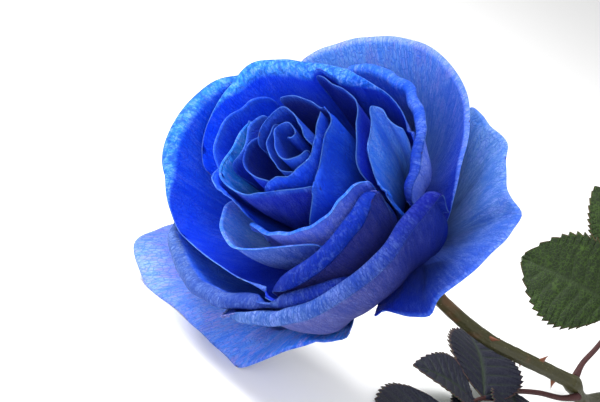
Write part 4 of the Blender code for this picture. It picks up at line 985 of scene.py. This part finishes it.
def stemMaterial():
    # Olive with streaks along the stem, redder at the prickles and in patches, pale small lenticels.
    c = greenTints
    material, w, shader = newMaterial("stem", {"Specular IOR Level": 0.2})
    cut, spine, _, _ = w.field("marks")
    spot = w.node("ShaderNodeTexCoord", {}, {}, "Object")
    cloud = w.noise(spot, (160.0, 160.0, 160.0), 4.0, 0.6)
    fine = w.noise(spot, (1400.0, 1400.0, 1400.0), 3.0, 0.6)
    streak = w.noise(spot, (240.0, 1500.0, 1500.0), 3.0, 0.6)
    grid = w.stretched(spot, (420.0, 900.0, 900.0))
    dots = w.node("ShaderNodeTexVoronoi", {}, {"Vector": grid, "Scale": 1.0})
    colour = w.coats(w.ramp(0.15 + 0.3 * cloud + 0.3 * streak + 0.3 * fine, c["stem"]), [
        (w.noise(spot, (70.0, 70.0, 70.0), 2.0).smooth(0.58, 0.72) * 0.35, c["red"]),
        ((1 - dots.smooth(0.08, 0.16)) * 0.4, c["lenticel"]),
        (spine.smooth(0.05, 0.6), c["red"]),
        (cut.smooth(0.3, 0.7), c["cut"]),
    ])
    height = fine * 0.5 + streak * 0.6 - dots.smooth(0.0, 0.25) * 0.3
    finishMaterial(shader, colour, 0.42 + 0.2 * fine, height, c["stemRelief"])
    return material


def leafMaterial(name):
    # Dark between the veins and lighter on them, in a mosaic of small cells; a pale green underside and
    # a dark red stalk.
    c = greenTints
    stops = c["low"] if name == "leaf_low" else c["high"]
    material, w, shader = newMaterial(name.replace("_", " "), {"Specular IOR Level": 0.25})
    stalk, dark, under, _ = w.field("look")
    vein, rib, edge, _ = w.field("marks")
    grain = w.field("grain")[3]
    cloud = w.noise(grain, (0.10, 0.10, 1.0), 3.0, 0.6)
    patch = w.noise(grain, (0.33, 0.33, 1.0), 3.0, 0.6, 0.3)
    fine = w.noise(grain, (2.2, 2.2, 1.0), 4.0, 0.65)
    net = 1 - w.walls(grain, (0.75, 0.75, 1.0)).smooth(0.02, 0.16)
    value = 0.45 * cloud + 0.40 * patch + 0.30 * fine - 0.20 * dark
    colour = w.coats(w.ramp(value + 0.20 * net - 0.05, stops), [
        (vein * 0.45, c["vein"]),
        (rib * 0.6, c["vein"]),
        ((1 - edge.smooth(0.1, 0.5)) * 0.35, c["red"]),
        (under * 0.75, c["under"]),
        (stalk, w.ramp(w.noise(grain, (1.2, 0.5, 1.0), 3.0), c["petiole"])),
    ])
    height = fine * 0.3 - net * 0.6 - vein * 0.4
    finishMaterial(shader, colour, 0.50 + 0.25 * fine, height, c["leafRelief"])
    return material


def greenMaterial(name):
    # Fresh green with fine streaks and soft patches.
    material, w, shader = newMaterial(name, {"Specular IOR Level": 0.3, "Sheen Weight": 0.1})
    grain = w.field("grain")[3]
    streak = w.noise(grain, (2.4, 0.3, 2.4), 3.0, 0.6)
    cloud = w.noise(grain, (0.3, 0.3, 0.3), 3.0, 0.6)
    colour = w.ramp(0.2 + 0.4 * streak + 0.4 * cloud, greenTints["hip"])
    colour = w.coats(colour, [(cloud.smooth(0.58, 0.72) * 0.5, greenTints["red"])])
    finishMaterial(shader, colour, 0.5 + 0.2 * streak, streak, greenTints["hipRelief"])
    return material


stemPiece()
for leafName, leafSpec in leafShapes.items():
    leafPiece(leafName, leafSpec)
hipPiece()
sepalPieces()
print("stem, leaves, hip and sepals made")


room = dict(floor=4.0, sky=0.75, lights={
    "key": dict(at=(-0.55, 0.45, 0.95), aim=(-0.07, 0.0, 0.04), size=0.6, power=18.0),
    "fill": dict(at=(-0.9, -0.7, 0.5), aim=(-0.07, 0.0, 0.05), size=0.8, power=9.0),
})


def makeRoom():
    # A pale floor that fills the view, a white sky, and two large soft white lights.
    floor = bpy.data.meshes.new("floor")
    s = room["floor"]
    floor.from_pydata([(-s, -s, 0), (s, -s, 0), (s, s, 0), (-s, s, 0)], [], [(0, 1, 2, 3)])
    material, _, _ = newMaterial("pale floor", {"Base Color": (0.94, 0.94, 0.94, 1.0), "Roughness": 0.8,
                                               "Specular IOR Level": 0.1})
    floor.materials.append(material)
    plane = bpy.data.objects.new("floor", floor)
    bpy.context.scene.collection.objects.link(plane)

    world = bpy.data.worlds.new("studio")
    world.use_nodes = True
    world.node_tree.nodes["Background"].inputs[0].default_value = (1.0, 1.0, 1.0, 1.0)
    world.node_tree.nodes["Background"].inputs[1].default_value = room["sky"]
    bpy.context.scene.world = world
    for name, light in room["lights"].items():
        lamp = bpy.data.lights.new(name, "AREA")
        lamp.energy = light["power"]
        lamp.size = light["size"]
        place = bpy.data.objects.new(name, lamp)
        bpy.context.scene.collection.objects.link(place)
        to = np.array(light["aim"]) - light["at"]
        place.matrix_world = lookMatrix(light["at"], to / np.linalg.norm(to), (0.0, 0.0, 1.0))


def lookMatrix(at, view, up):
    # Columns are right, up and back of a camera or light that looks along view.
    view = unit(np.array(view, float))
    right = unit(np.cross(view, up))
    top = np.cross(right, view)
    rows = [[right[k], top[k], -view[k], at[k]] for k in range(3)] + [[0.0, 0.0, 0.0, 1.0]]
    return Matrix(rows)


# The camera's place in metres, its heading from +x, its slope downwards and its roll in degrees.
shot = dict(at=(-0.45462, -0.33234, 0.18294), heading=43.522, down=15.0, roll=30.0, lens=100.0,
            sensor=36.0)


def makeCamera():
    # The photo's view of the rose: the level camera is tipped down, then rolled about its line of sight.
    heading, down, roll = (math.radians(shot[key]) for key in ("heading", "down", "roll"))
    flat = math.cos(down)
    view = np.array([flat * math.cos(heading), flat * math.sin(heading), -math.sin(down)])
    level = np.array([math.sin(heading), -math.cos(heading), 0.0])
    up = math.cos(roll) * np.cross(level, view) - math.sin(roll) * level
    camera = bpy.data.objects.new("camera", bpy.data.cameras.new("camera"))
    camera.data.lens = shot["lens"]
    camera.data.sensor_width = shot["sensor"]
    camera.data.clip_start = 0.01
    camera.matrix_world = lookMatrix(shot["at"], view, up)
    bpy.context.scene.collection.objects.link(camera)
    bpy.context.scene.camera = camera
    bpy.context.scene.view_settings.view_transform = "Standard"


makeRoom()
makeCamera()
print("room and camera made")
